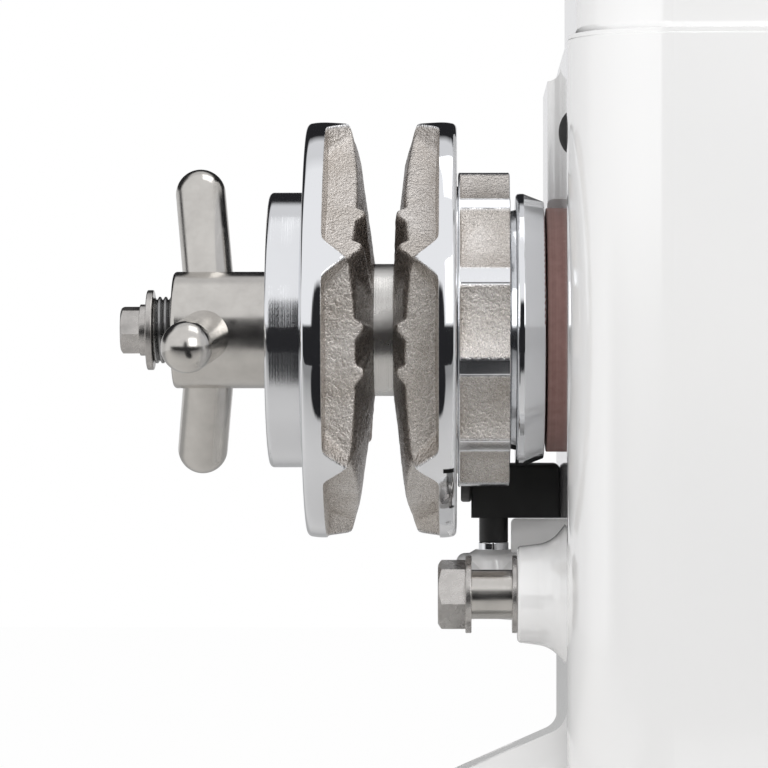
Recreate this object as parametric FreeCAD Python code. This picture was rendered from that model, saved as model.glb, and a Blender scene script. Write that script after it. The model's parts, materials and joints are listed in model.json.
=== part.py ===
"""Horizontal electric anchor windlass, chain-wheel side to the left: one STEP file for each piece.

Millimetres, Z up, Y away from the front, X along the shaft. The origin is on the deck under the shaft.
"""
import FreeCAD, Part
import math
import os
from FreeCAD import Vector

# Shaft line
SHAFT_Z = 144.0
THREAD_R = 10.0
THREAD_PITCH = 1.75
THREAD_DEPTH = 0.95
END_BOLT_R = 4.0
DISC_SEAT_R = 12.0
GYPSY_SEAT_R = 14.0
BEARING_SEAT_R = 15.0
COLLAR_R = 18.0
SHAFT_LEFT_X = -187.4
SHAFT_RIGHT_X = 60.0
RUNNING_GAP = 0.05
BODY_GAP = 0.3

# Housing
HOUSING_X = 65.0
HOUSING_FRONT = -85.0
HOUSING_REAR = 105.0
CORNER_R = 29.0
WALL = 7.0
BEARING_SEAT_WALL = 9.0
SHOULDER_R = 27.0
SEAL_END_X = -57.0
LEFT_SEAT_END_X = -39.0
RIGHT_SEAT_END_X = 37.0
CAP_HOLE_X = 56.0
LOW_BRACKET_HALF = 24.0
LOW_BRACKET_FRONT = 40.0
BRACKET_HALF = 42.0
BRACKET_FRONT = 22.0
LEDGE_Z = 226.0
LEDGE_ROUND = 0.4
COVER_INSET = 2.6
COVER_LIP = 0.4
COVER_LIP_T = 1.2
COVER_COVE = 2.0
COVER_WALL = 5.0
COVER_TOP_Z = 288.0
COVER_ROUND = 16.0
COVER_SINK = 14.0
COVER_POST_DROP = 8.0
PLATE_T = 4.0
PLATE_MARGIN = 4.0
SCREW_POST_R = 8.0
SCREW_POSTS = [(-48.0, -68.0), (48.0, -68.0), (48.0, 88.0), (-48.0, 88.0)]
LOW_POST_TOP_Z = 28.0
HIGH_POST_FOOT_Z = 198.0
PAD_X = -69.0
PAD_FRONT = 18.0
PAD_REAR = 90.0
PAD_FOOT_Z = 112.0
PAD_TOP_Z = 220.0
PAD_TOP_COVE = -HOUSING_X - PAD_X
PAD_CUT_R = 44.0
PAD_CORNER = 2.5
CASTING_OVERLAP = 2.0
GLAND_Z = 34.0
GLAND_R = 8.0

# Small screws
SCREW_R = 2.5
SCREW_CLEAR_R = 2.7
SCREW_HEAD_R = 4.3
SCREW_HEAD_H = 5.0
HEAD_CLEAR_R = 5.2

# Deck wings
WING_X = 105.0
WING_EDGE_Z = 8.1
WING_ROOT_Z = 25.8
WING_FRONT = -47.0
WING_REAR = 67.0
WING_COVE = 6.0
WING_CORNER = 12.0
WING_WEB_Z = 44.0
WING_EDGE_ROUND = 2.0
WING_FALL = 4.4
WING_FALL_Z = 18.0
WING_SPARE = 20.0
DECK_HOLE_X = 88.0
DECK_HOLE_YS = (-35.0, 55.0)
DECK_HOLE_R = 5.5
DECK_SPOT_R = 11.0
DECK_SPOT_Z = 7.0

# Clutch nut
HUB_LEFT_X = -181.5
HUB_RIGHT_X = -152.8
HUB_R = 17.5
SPIGOT_R = 5.0
SPIGOT_FOOT = 13.0
SPIGOT_LENGTH = 6.0
HANDLE_R = 7.6
HANDLE_REACH = 52.7
HANDLE_LEAN = 6.0
HANDLE_AXIS_X = -169.8
HANDLE_ANGLES = (-7.0, 113.0, -127.0)

# Clutch disc and drive cone
DISC_LEFT_X = -152.5
DISC_RIGHT_X = -141.5
DISC_R = 41.2
DISC_CONE_END_X = -129.0
DISC_BACK_X = -139.7
DISC_CONE_R = 35.0
CONE_TIP_R = 31.0
CONE_LIP_X = -79.1
CONE_BACK_X = -70.6
CONE_LIP_R = 40.8
CONE_BACK_R = 38.4
CONE_END_X = -99.0
CONE_ROOT_R = 36.0

# Fibre ring on the left wall
FIBRE_LEFT_X = -70.0
FIBRE_R = 36.5
FIBRE_BORE_R = 18.0

# Gypsy (chain wheel)
GYPSY_R = 62.2
GYPSY_LEFT_X = -141.2
GYPSY_RIGHT_X = -96.5
OUTER_V_FACE = [(-121.1, 19.5), (-122.3, 28.2), (-123.5, 36.7), (-125.6, 51.6), (-128.3, 62.2)]
INNER_V_FACE = [(-115.4, 19.5), (-114.2, 29.5), (-113.2, 38.5), (-111.9, 49.5), (-108.4, 62.2)]
OUTER_BAND_X = -135.4
INNER_BAND_X = -101.5
POCKETS = 6
LAND_ANGLE = 19.0
POCKET_FLOOR = 51.0
POCKET_HALF = 20.4
POCKET_SPREAD = 1.1
POCKET_ROUND = 4.0
POCKET_TOP = 74.0
RIM_ROUND = 1.6
POCKET_OPEN_X = (-119.0, -117.5)
RIB_ANGLES = (41.0, 25.2, 0.3, -14.6)
RIB_GROUPS = 2
RIB_RISE = 0.08
RIB_FOOT_R = 20.0
RIB_HALF = 1.3
SLEEVE_R = 19.8
BUSH_R = 17.0
BUSH_LEFT_X = -128.5
BUSH_RIGHT_X = -99.3
DOWELS = 3
DOWEL_R = 1.0
DOWEL_CIRCLE_R = 18.4
DOWEL_SPAN = (-127.0, -109.0)
MAGNET_ANGLE = -47.0
MAGNET_CIRCLE_R = 57.9
MAGNET_R = 3.0
MAGNET_T = 5.0

# Ratchet ring
RATCHET_LEFT_X = -96.2
RATCHET_RIGHT_X = -80.8
RATCHET_R = 47.1
RATCHET_SPIGOT_R = 43.0
RATCHET_TEETH = 11
RATCHET_FIRST = 18.6
RATCHET_SCOOP_R = 27.5
RATCHET_FLOOR_R = 43.5
RATCHET_WEB = 0.8
RATCHET_SEAT = 2.4
RATCHET_SCREWS = 4
RATCHET_SCREW_SIZE = 0.75
RATCHET_SCREW_CIRCLE_R = 39.6

# Bolt boss and sensor arm on the left wall
BOSS_Y = -31.7
BOSS_Z = 66.4
BOSS_END_X = -78.9
BOSS_R = 14.0
BOSS_EDGE_ROUND = 1.2
BOSS_ROOT_R = 15.2
BOSS_COVE = 9.0
BOSS_FLARE_R = 20.5
BOLT_R = 6.0
BOLT_HOLE_X = -52.0
BOLT_END_X = -54.0
BOLT_HEAD_SPAN = (-102.0, -94.0)
SPACER_SPAN = (-92.2, -80.4)
BOLT_CLEAR_R = 6.1
BOLT_FLATS = 18.0
BOLT_TURN = 13.0
BOLT_WASHER_R = 11.3
ARM_Y = 31.7
ARM_Z = 66.0
ARM_END_X = -97.0
ARM_R = 9.6
ARM_ROOT_R = 11.6
ARM_FLARE_R = 15.6
GUSSET_X = -80.0
GUSSET_TOP_Z = 86.5
GUSSET_ROUND = 1.5
GUSSET_HALF = 4.0
BOSS_ROOT_X = -69.0
POST_X = -85.3
POST_R = 3.0
POST_SEAT_Z = 77.0
NUT_TOP_Z = 79.4
HOLDER_FOOT_Z = 86.8
HOLDER_TOP_Z = 103.5
HOLDER_LEFT_X = -92.2
SENSOR_Z = 95.8

# Plug on the left wall
PLUG_Y = -50.0
PLUG_Z = 200.0
PLUG_R = 5.75
PLUG_TOP_X = -67.2
PLUG_SHOULDER_R = 3.3
PLUG_DOME_R = 8.0
PLUG_STEM_R = 3.0
PLUG_END_X = -59.5

# Gears and motor
MODULE = 3.0
WHEEL_TEETH = 30
WHEEL_WIDTH = 22.0
WORM_Y = 60.0
WORM_PITCH_R = 15.0
WORM_SHAFT_R = 8.0
WORM_HALF = 26.0
TOOTH_SHARE = 0.46
PRESSURE = math.radians(20)
MOTOR_R = 36.0
BRACKET_TOP_Z = 200.0
BRACKET_FOOT_Z = 190.0
LOW_BRACKET_FOOT_Z = 92.0
LOW_BRACKET_TOP_Z = 104.0
WORM_BEARING_R = 16.0
WORM_SLANT = MODULE / 2 / WORM_PITCH_R
MOTOR_FOOT_Z = 206.0
MOTOR_TOP_Z = 272.0
MOTOR_BORE_R = 33.0
ROTOR_R = 27.0
ROTOR_FOOT_Z = 198.0
WORM_FOOT_Z = 95.0
WORM_TOP_Z = 210.0
ROTOR_SHAFT_R = 5.0
COMMUTATOR_R = 10.0
TERMINAL_XS = (-16.0, 16.0)
TERMINAL_R = 3.0
MAGNETS_Z = (214.0, 258.0)
MAGNET_GAP = 5.0
MOTOR_SCREWS = [(-34.0, 29.0), (34.0, 29.0), (34.0, 91.0), (-34.0, 91.0)]

# Ball bearings of the shaft, and the cap on the right
BEARING_R = 31.0
BALL_CIRCLE_R = 23.0
BALL_R = 4.75
GROOVE_R = 5.3
BALLS = 9
LEFT_BEARING = (-56.0, -40.0)
RIGHT_BEARING = (40.0, 56.0)
SEAL_R = 23.5
CAP_R = 42.0
CAP_SCREW_SPAN = 26.2
CAP_SCREWS = [(CAP_SCREW_SPAN * sy, SHAFT_Z + CAP_SCREW_SPAN * sz) for sy in (-1, 1) for sz in (-1, 1)]
CAP_SEAT_X = 66.0
CAP_SCREW_X = 70.0
CAP_END_X = 73.5

# Bolt heads
HEAD_FACE = 0.475
HEAD_SLOPE = 0.6


def outline(points, place):
    """Closed wire through the points. A third number on a point rounds that corner."""
    flat = [Vector(p[0], p[1], 0) for p in points]
    count = len(points)
    joins = []
    for i, p in enumerate(points):
        here = flat[i]
        if len(p) < 3:
            joins.append((here, here, None))
            continue
        back = (flat[i - 1] - here).normalize()
        ahead = (flat[(i + 1) % count] - here).normalize()
        half = back.getAngle(ahead) / 2
        run = p[2] / math.tan(half)
        middle = here + (back + ahead).normalize() * (p[2] / math.sin(half) - p[2])
        joins.append((here + back * run, here + ahead * run, middle))
    edges = []
    for i, (first, last, middle) in enumerate(joins):
        if middle:
            edges.append(Part.Arc(place(first), place(middle), place(last)).toShape())
        following = joins[(i + 1) % count][0]
        if (following - last).Length > 1e-6:
            edges.append(Part.makeLine(place(last), place(following)))
    return Part.Wire(edges)


def turned(points, y=0.0, z=SHAFT_Z):
    """Solid of revolution about a line along X, from (x, radius) points."""
    wire = outline(points, lambda p: Vector(p.x, y, z + p.y))
    return Part.Face(wire).revolve(Vector(0, y, z), Vector(1, 0, 0), 360)


def spun(points, x, y):
    """Solid of revolution about a vertical line, from (radius, z) points."""
    wire = outline(points, lambda p: Vector(x + p.x, y, p.y))
    return Part.Face(wire).revolve(Vector(x, y, 0), Vector(0, 0, 1), 360)


def ring(x0, x1, outer, inner, y=0.0, z=SHAFT_Z, round_=0.0):
    """Washer or tube along X, its outer corners rounded."""
    edge = (round_,) if round_ else ()
    return turned([(x0, inner), (x0, outer) + edge, (x1, outer) + edge, (x1, inner)], y, z)


def rod(x0, x1, radius, y=0.0, z=SHAFT_Z):
    """Round bar along X."""
    return Part.makeCylinder(radius, x1 - x0, Vector(x0, y, z), Vector(1, 0, 0))


def pillar(z0, z1, radius, x, y):
    """Round bar along Z."""
    return Part.makeCylinder(radius, z1 - z0, Vector(x, y, z0), Vector(0, 0, 1))


def block(x0, x1, y0, y1, z0, z1):
    """Plain box between two corners."""
    return Part.makeBox(x1 - x0, y1 - y0, z1 - z0, Vector(x0, y0, z0))


def slab(x0, x1, y0, y1, z0, z1, corner):
    """Upright box with rounded vertical corners."""
    plan = [(x0, y0, corner), (x1, y0, corner), (x1, y1, corner), (x0, y1, corner)]
    wire = outline(plan, lambda p: Vector(p.x, p.y, z0))
    return Part.Face(wire).extrude(Vector(0, 0, z1 - z0))


def hexagon(x0, x1, across_flats, turn, y=0.0, z=SHAFT_Z):
    """Hexagon bar along X, chamfered at its left end as a bolt head is."""
    corner = across_flats / math.sqrt(3)
    angles = [math.radians(turn + 60 * i) for i in range(6)]
    wire = Part.makePolygon(
        [Vector(x0, y + corner * math.cos(a), z + corner * math.sin(a)) for a in angles + angles[:1]]
    )
    bar = Part.Face(wire).extrude(Vector(x1 - x0, 0, 0))
    face = HEAD_FACE * across_flats
    shoulder = (corner - face) * HEAD_SLOPE
    envelope = [(x0, 0), (x0, face), (x0 + shoulder, corner), (x1, corner), (x1, 0)]
    return bar.common(turned(envelope, y, z))


def about_shaft(shape, degrees):
    """The shape turned about the shaft. Positive degrees lift what faces the front."""
    moved = shape.copy()
    moved.rotate(Vector(0, 0, SHAFT_Z), Vector(1, 0, 0), -degrees)
    return moved


def radial(angle):
    """Unit vector from the shaft. Zero degrees faces the front, and positive is up."""
    a = math.radians(angle)
    return Vector(0, -math.cos(a), math.sin(a))


def rounded(shape, radius, chosen):
    """The shape with the edges that pass the test rounded."""
    return shape.makeFillet(radius, [e for e in shape.Edges if chosen(e)])


def on_level(z):
    """Test for edges that lie at height z."""
    return lambda e: abs(e.BoundBox.ZMin - z) < 1e-4 and abs(e.BoundBox.ZMax - z) < 1e-4


def together(shapes):
    """One shape fused from several."""
    return shapes[0].fuse(shapes[1:]).removeSplitter()


# Housing pieces

def wing(side):
    """Deck wing on one side: it slopes outwards and a little to the rear, and coves into the wall."""
    inner = HOUSING_X - WALL + CASTING_OVERLAP
    points = [
        (side * inner, -WING_SPARE), (side * WING_X, -WING_SPARE),
        (side * WING_X, WING_EDGE_Z, WING_EDGE_ROUND),
        (side * HOUSING_X, WING_ROOT_Z, WING_COVE), (side * HOUSING_X, WING_WEB_Z),
        (side * inner, WING_WEB_Z),
    ]
    wire = outline(points, lambda p: Vector(p.x, WING_FRONT - WING_SPARE, p.y))
    foot = Part.Face(wire).extrude(Vector(0, WING_REAR - WING_FRONT + 2 * WING_SPARE, 0))
    foot.rotate(Vector(0, 0, WING_FALL_Z), Vector(1, 0, 0), -WING_FALL)
    return foot.common(slab(-WING_X, WING_X, WING_FRONT, WING_REAR, 0, WING_WEB_Z, WING_CORNER))


def boss():
    """Tapered boss on the left wall that takes the bolt."""
    inside = -HOUSING_X + WALL
    back = inside + 2 * BOLT_R
    profile = [
        (back, 0), (BOSS_END_X, 0), (BOSS_END_X, BOSS_R, BOSS_EDGE_ROUND),
        (BOSS_ROOT_X, BOSS_ROOT_R, BOSS_COVE), (-HOUSING_X, BOSS_FLARE_R), (inside, BOSS_FLARE_R),
        (back, 2 * BOLT_R),
    ]
    return turned(profile, BOSS_Y, BOSS_Z)


def sensor_arm():
    """Tapered arm on the left wall, with a seat on top for the sensor post and a gusset behind the post."""
    inside = -HOUSING_X + WALL - CASTING_OVERLAP
    profile = [
        (inside, 0), (ARM_END_X, 0), (ARM_END_X, ARM_R, 3.0), (BOSS_ROOT_X, ARM_ROOT_R, 8.0),
        (-HOUSING_X, ARM_FLARE_R), (inside, ARM_FLARE_R),
    ]
    arm = turned(profile, ARM_Y, ARM_Z)
    seat_r = POST_R + 2.6
    cone = [(0, ARM_Z), (ARM_R + 0.9, ARM_Z), (ARM_R - 0.6, POST_SEAT_Z - 2, 3.0), (seat_r, POST_SEAT_Z)]
    seat = spun(cone + [(0, POST_SEAT_Z)], POST_X, ARM_Y)
    root = -HOUSING_X + CASTING_OVERLAP
    side = [(root, ARM_Z), (GUSSET_X, ARM_Z), (GUSSET_X, GUSSET_TOP_Z, GUSSET_ROUND), (root, GUSSET_TOP_Z)]
    wire = outline(side, lambda p: Vector(p.x, ARM_Y - GUSSET_HALF, p.y))
    gusset = Part.Face(wire).extrude(Vector(0, 2 * GUSSET_HALF, 0))
    return together([arm, seat, gusset])


def side_pad():
    """Raised pad on the left wall, with a hollow curve from its top edge up to the wall."""
    inside = -HOUSING_X + CASTING_OVERLAP
    top = PAD_TOP_Z + PAD_TOP_COVE + 1
    section = [
        (PAD_X, PAD_FOOT_Z), (PAD_X, PAD_TOP_Z), (-HOUSING_X, PAD_TOP_Z, PAD_TOP_COVE), (-HOUSING_X, top),
        (inside, top), (inside, PAD_FOOT_Z),
    ]
    wire = outline(section, lambda p: Vector(p.x, PAD_FRONT, p.y))
    pad = Part.Face(wire).extrude(Vector(0, PAD_REAR - PAD_FRONT, 0))
    pad = pad.common(slab(PAD_X, inside, PAD_FRONT, PAD_REAR, PAD_FOOT_Z, LEDGE_Z, PAD_CORNER))
    return pad.cut(rod(PAD_X - 1, -HOUSING_X, PAD_CUT_R))


def lower_housing():
    """Cast body: walls, wings, bearing seats, worm brackets and screw posts in one casting."""
    outer = rounded(plan_slab(0.0, 0, LEDGE_Z), LEDGE_ROUND, on_level(LEDGE_Z))
    cavity = plan_slab(WALL, 0, LEDGE_Z)
    body = together([outer.cut(cavity), side_pad(), boss(), sensor_arm(), wing(-1), wing(1)])
    rear = HOUSING_REAR - WALL + CASTING_OVERLAP
    outside = HOUSING_X + 1
    lower_bracket = block(-LOW_BRACKET_HALF, LOW_BRACKET_HALF, LOW_BRACKET_FRONT, rear,
                          LOW_BRACKET_FOOT_Z, LOW_BRACKET_TOP_Z)
    upper_bracket = block(-BRACKET_HALF, BRACKET_HALF, BRACKET_FRONT, rear, BRACKET_FOOT_Z, BRACKET_TOP_Z)
    seat_r = BEARING_R + BEARING_SEAT_WALL
    left_seat = rod(-HOUSING_X + WALL - CASTING_OVERLAP, LEFT_BEARING[1], seat_r)
    right_seat = rod(RIGHT_BEARING[0] - CASTING_OVERLAP, HOUSING_X - WALL + CASTING_OVERLAP, seat_r)
    posts = [pillar(PLATE_T, LOW_POST_TOP_Z, SCREW_POST_R, x, y) for x, y in SCREW_POSTS]
    posts += [pillar(HIGH_POST_FOOT_Z, LEDGE_Z, SCREW_POST_R, x, y) for x, y in SCREW_POSTS]
    body = together([body, lower_bracket, upper_bracket, left_seat, right_seat] + posts)
    holes = [
        plan_slab(PLATE_MARGIN, -1, PLATE_T),
        turned([(-outside, 0), (-outside, SEAL_R), (SEAL_END_X, SEAL_R), (SEAL_END_X, SHOULDER_R),
                (LEFT_BEARING[0], SHOULDER_R), (LEFT_BEARING[0], BEARING_R), (LEFT_SEAT_END_X, BEARING_R),
                (LEFT_SEAT_END_X, 0)]),
        turned([(RIGHT_SEAT_END_X, 0), (RIGHT_SEAT_END_X, SHOULDER_R), (RIGHT_BEARING[0], SHOULDER_R),
                (RIGHT_BEARING[0], BEARING_R), (outside, BEARING_R), (outside, 0)]),
        pillar(LOW_BRACKET_FOOT_Z + 2, LOW_BRACKET_TOP_Z + 1, WORM_BEARING_R, 0, WORM_Y),
        pillar(LOW_BRACKET_FOOT_Z - 1, LOW_BRACKET_FOOT_Z + 3, WORM_SHAFT_R + 2, 0, WORM_Y),
        pillar(BRACKET_FOOT_Z - 1, BRACKET_TOP_Z + 1, WORM_BEARING_R, 0, WORM_Y),
        rod(BOSS_END_X - 1, BOLT_HOLE_X, BOLT_R, BOSS_Y, BOSS_Z),
        pillar(ARM_Z, POST_SEAT_Z + 1, POST_R, POST_X, ARM_Y),
        rod(-outside, PLUG_END_X, PLUG_STEM_R, PLUG_Y, PLUG_Z),
        Part.makeCylinder(GLAND_R, 12, Vector(0, HOUSING_REAR - 10, GLAND_Z), Vector(0, 1, 0)),
    ]
    holes += [pillar(PLATE_T - 1, LOW_POST_TOP_Z - 4, SCREW_R, x, y) for x, y in SCREW_POSTS]
    holes += [pillar(HIGH_POST_FOOT_Z + 6, LEDGE_Z + 1, SCREW_R, x, y) for x, y in SCREW_POSTS]
    holes += [pillar(BRACKET_FOOT_Z - 1, BRACKET_TOP_Z + 1, SCREW_R, x, y) for x, y in MOTOR_SCREWS]
    holes += [rod(CAP_HOLE_X, outside, SCREW_R, y, z) for y, z in CAP_SCREWS]
    for side in (-1, 1):
        for y in DECK_HOLE_YS:
            holes.append(pillar(-1, WING_WEB_Z, DECK_HOLE_R, side * DECK_HOLE_X, y))
            holes.append(pillar(DECK_SPOT_Z, WING_WEB_Z, DECK_SPOT_R, side * DECK_HOLE_X, y))
    return body.cut(holes)


def plan_slab(inset, z0, z1):
    """Slab on the housing's plan, drawn in by the inset all round."""
    half = HOUSING_X - inset
    return slab(-half, half, HOUSING_FRONT + inset, HOUSING_REAR - inset, z0, z1, CORNER_R - inset)


def upper_cover():
    """Cover over the motor: a lip on the ledge, a hollow curve up to the wall and four screw posts."""
    outer = rounded(plan_slab(COVER_INSET, LEDGE_Z, COVER_TOP_Z), COVER_ROUND, on_level(COVER_TOP_Z))
    lip_z = LEDGE_Z + COVER_LIP_T
    outer = together([outer, plan_slab(COVER_LIP, LEDGE_Z, lip_z)])
    wall_x = HOUSING_X - COVER_INSET + 0.1
    wall_front = HOUSING_FRONT + COVER_INSET - 0.1
    outer = rounded(
        outer, COVER_COVE,
        lambda e: on_level(lip_z)(e) and e.BoundBox.XMax < wall_x and e.BoundBox.XMin > -wall_x
        and e.BoundBox.YMin > wall_front and e.BoundBox.YMax < HOUSING_REAR - COVER_INSET + 0.1,
    )
    hollow = plan_slab(COVER_INSET + COVER_WALL, LEDGE_Z - 1, COVER_TOP_Z - COVER_WALL)
    hollow = rounded(hollow, COVER_ROUND - COVER_WALL, on_level(COVER_TOP_Z - COVER_WALL))
    posts = [pillar(LEDGE_Z, COVER_TOP_Z - COVER_POST_DROP, SCREW_POST_R, x, y) for x, y in SCREW_POSTS]
    holes = [pillar(LEDGE_Z - 1, COVER_TOP_Z, SCREW_CLEAR_R, x, y) for x, y in SCREW_POSTS]
    holes += [pillar(COVER_TOP_Z - COVER_SINK, COVER_TOP_Z + 1, HEAD_CLEAR_R, x, y) for x, y in SCREW_POSTS]
    return together([outer.cut(hollow)] + posts).cut(holes)


def socket_screw(axis, head_at, length, size=1.0):
    """Cap screw whose head stands against the point given, the shank running along the axis."""
    head_r = SCREW_HEAD_R * size
    head_h = SCREW_HEAD_H * size
    back = head_at - axis * head_h
    head = Part.makeCylinder(head_r, head_h, back, axis)
    shank = Part.makeCylinder(SCREW_R * size, length, head_at, axis)
    socket = Part.makeCylinder(head_r / 2, head_h / 2, back, axis)
    return head.fuse(shank).cut(socket)


def cover_screws():
    """Four long screws down through the cover posts."""
    down = Vector(0, 0, -1)
    return Part.makeCompound(
        [socket_screw(down, Vector(x, y, COVER_TOP_Z - COVER_SINK), 62) for x, y in SCREW_POSTS]
    )


def bottom_plate():
    """Plate flush with the deck face, with countersunk holes for its screws."""
    return plan_slab(PLATE_MARGIN, 0, PLATE_T).cut([sunk_head(x, y) for x, y in SCREW_POSTS])


def sunk_head(x, y):
    """Countersunk screw standing head down, its head flush with the deck face."""
    return spun([(0, 0), (2 * SCREW_R, 0), (SCREW_R, SCREW_R), (SCREW_R, 20), (0, 20)], x, y)


def bottom_screws():
    """Four countersunk screws that hold the bottom plate."""
    slots = [block(x - 3.6, x + 3.6, y - 0.5, y + 0.5, -1, 1.0) for x, y in SCREW_POSTS]
    heads = [sunk_head(x, y).cut(slot) for (x, y), slot in zip(SCREW_POSTS, slots)]
    return Part.makeCompound(heads)


def cable_gland():
    """Blanked cable gland through the rear wall."""
    back = Vector(0, 1, 0)
    y = HOUSING_REAR
    stem = Part.makeCylinder(GLAND_R, 10, Vector(0, y - 10, GLAND_Z), back)
    flange = Part.makeCylinder(GLAND_R + 5, 5, Vector(0, y, GLAND_Z), back)
    nut = Part.makeCylinder(GLAND_R + 3, 12, Vector(0, y + 5, GLAND_Z), back)
    nut = rounded(nut, 3.0, lambda e: abs(e.BoundBox.YMin - (y + 17)) < 1e-4)
    return together([stem, flange, nut])


def bearing(span, part):
    """One part of a ball bearing 30 x 62 x 16: outer race, inner race or balls."""
    x0, x1 = span
    middle = Vector((x0 + x1) / 2, 0, SHAFT_Z)
    groove = Part.makeTorus(BALL_CIRCLE_R, GROOVE_R, middle, Vector(1, 0, 0))
    if part == "outer":
        return ring(x0, x1, BEARING_R, BALL_CIRCLE_R + 3.2, round_=0.8).cut(groove)
    if part == "inner":
        return ring(x0, x1, BALL_CIRCLE_R - 3.2, BEARING_SEAT_R).cut(groove)
    step = 360 / BALLS
    return Part.makeCompound(
        [Part.makeSphere(BALL_R, middle + radial(step * i) * BALL_CIRCLE_R) for i in range(BALLS)]
    )


def shaft_seal():
    """Lip seal in the left wall, with its lip on the shaft."""
    lip = BEARING_SEAT_R + RUNNING_GAP
    return turned([(-64.5, lip + 1.5), (-64.5, SEAL_R), (-57.2, SEAL_R), (-57.2, 19), (-62.0, 19),
                   (-62.0, lip), (-63.0, lip)])


def bearing_cap():
    """Cap over the right bearing, with a spigot that holds the outer race."""
    spigot_x = RIGHT_BEARING[1]
    inner = BEARING_R - 4.5
    profile = [
        (spigot_x, inner), (spigot_x, BEARING_R), (CAP_SEAT_X, BEARING_R), (CAP_SEAT_X, CAP_R),
        (CAP_SCREW_X + 1, CAP_R, 2.0), (CAP_END_X, BEARING_R - 1, 4.0), (CAP_END_X, 0), (63.0, 0),
        (63.0, inner),
    ]
    heads = [rod(CAP_SCREW_X, CAP_END_X + 6, HEAD_CLEAR_R, y, z) for y, z in CAP_SCREWS]
    return turned(profile).cut(cap_screw_holes() + heads)


def cap_screw_holes():
    """Clearance holes for the four screws of the bearing cap."""
    return [rod(60, CAP_END_X + 1, SCREW_CLEAR_R, y, z) for y, z in CAP_SCREWS]


def cap_gasket():
    """Thin gasket under the cap."""
    return ring(HOUSING_X, CAP_SEAT_X, CAP_R, BEARING_R).cut(cap_screw_holes())


def cap_screws():
    """Four cap screws that hold the bearing cap."""
    inward = Vector(-1, 0, 0)
    return Part.makeCompound(
        [socket_screw(inward, Vector(CAP_SCREW_X, y, z), 13.5) for y, z in CAP_SCREWS]
    )


def fibre_ring():
    """Fibre ring on the left wall behind the drive cone."""
    return turned([(FIBRE_LEFT_X, FIBRE_BORE_R), (FIBRE_LEFT_X, FIBRE_R, 0.4), (-HOUSING_X, FIBRE_R),
                   (-HOUSING_X, FIBRE_BORE_R)])


def boss_bolt():
    """Bolt in the boss on the left wall."""
    head = hexagon(*BOLT_HEAD_SPAN, BOLT_FLATS, BOLT_TURN, BOSS_Y, BOSS_Z)
    shank = rod(BOLT_HEAD_SPAN[1] - CASTING_OVERLAP, BOLT_END_X, BOLT_R, BOSS_Y, BOSS_Z)
    return together([head, shank])


def boss_washers():
    """Two washers on the boss bolt, either side of the spacer."""
    return Part.makeCompound(
        [ring(BOLT_HEAD_SPAN[1], SPACER_SPAN[0], BOLT_WASHER_R, BOLT_CLEAR_R, BOSS_Y, BOSS_Z, 0.3),
         ring(SPACER_SPAN[1], BOSS_END_X, BOLT_WASHER_R, BOLT_CLEAR_R, BOSS_Y, BOSS_Z, 0.3)]
    )


def boss_spacer():
    """Spacer tube on the boss bolt."""
    return ring(*SPACER_SPAN, BOLT_CLEAR_R + 1.1, BOLT_CLEAR_R, BOSS_Y, BOSS_Z)


def wall_plug():
    """Domed plug pressed into a blind hole in the left wall."""
    profile = [
        (PLUG_END_X, 0), (PLUG_END_X, PLUG_STEM_R), (-HOUSING_X, PLUG_STEM_R), (-HOUSING_X, PLUG_R),
        (PLUG_TOP_X, PLUG_SHOULDER_R, PLUG_DOME_R), (PLUG_TOP_X, 0),
    ]
    return turned(profile, PLUG_Y, PLUG_Z)


def sensor_post():
    """Post that carries the chain-counter sensor, screwed into the arm."""
    stem = pillar(ARM_Z + 1, NUT_TOP_Z + 1, POST_R, POST_X, ARM_Y)
    return together([stem, pillar(NUT_TOP_Z, HOLDER_FOOT_Z, POST_R + 1.45, POST_X, ARM_Y)])


def post_nut():
    """Polished nut that locks the sensor post."""
    outer = POST_R + 1.6
    profile = [(POST_R, POST_SEAT_Z), (outer, POST_SEAT_Z), (outer, NUT_TOP_Z, 0.6), (POST_R, NUT_TOP_Z)]
    return spun(profile, POST_X, ARM_Y)


def sensor_holder():
    """Block that holds the sensor beside the chain wheel."""
    y0, y1 = ARM_Y - 6.7, ARM_Y + 7.3
    holder = slab(HOLDER_LEFT_X, -HOUSING_X, y0, y1, HOLDER_FOOT_Z, HOLDER_TOP_Z, 1.0)
    return rounded(holder, 2.0, lambda e: on_level(HOLDER_TOP_Z)(e) and e.BoundBox.YMax < y0 + 0.01)


def sensor_tip():
    """Face of the sensor, a short gap away from the magnet's path."""
    return ring(HOLDER_LEFT_X - 3.2, HOLDER_LEFT_X, 4.3, 0.0, ARM_Y + 0.3, SENSOR_Z, 0.8)


# Motor

def motor_end_plate():
    """Plate between the bracket and the motor can."""
    plate = slab(-40, 40, 23, 97, BRACKET_TOP_Z, MOTOR_FOOT_Z, 8.0)
    low, high = BRACKET_TOP_Z - 1, MOTOR_FOOT_Z + 1
    holes = [pillar(low, high, SCREW_R, x, y) for x, y in MOTOR_SCREWS]
    return plate.cut([pillar(low, high, WORM_SHAFT_R + 2, 0, WORM_Y)] + holes)


def motor_can():
    """Steel can of the motor, closed at the top but for two terminal holes."""
    roof = MOTOR_TOP_Z - MOTOR_R + MOTOR_BORE_R
    profile = [
        (MOTOR_BORE_R, MOTOR_FOOT_Z), (MOTOR_R, MOTOR_FOOT_Z), (MOTOR_R, MOTOR_TOP_Z, 3.0), (0, MOTOR_TOP_Z),
        (0, roof), (MOTOR_BORE_R, roof),
    ]
    holes = [pillar(roof - 1, MOTOR_TOP_Z + 1, TERMINAL_R, x, WORM_Y) for x in TERMINAL_XS]
    return spun(profile, 0, WORM_Y).cut(holes)


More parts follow.
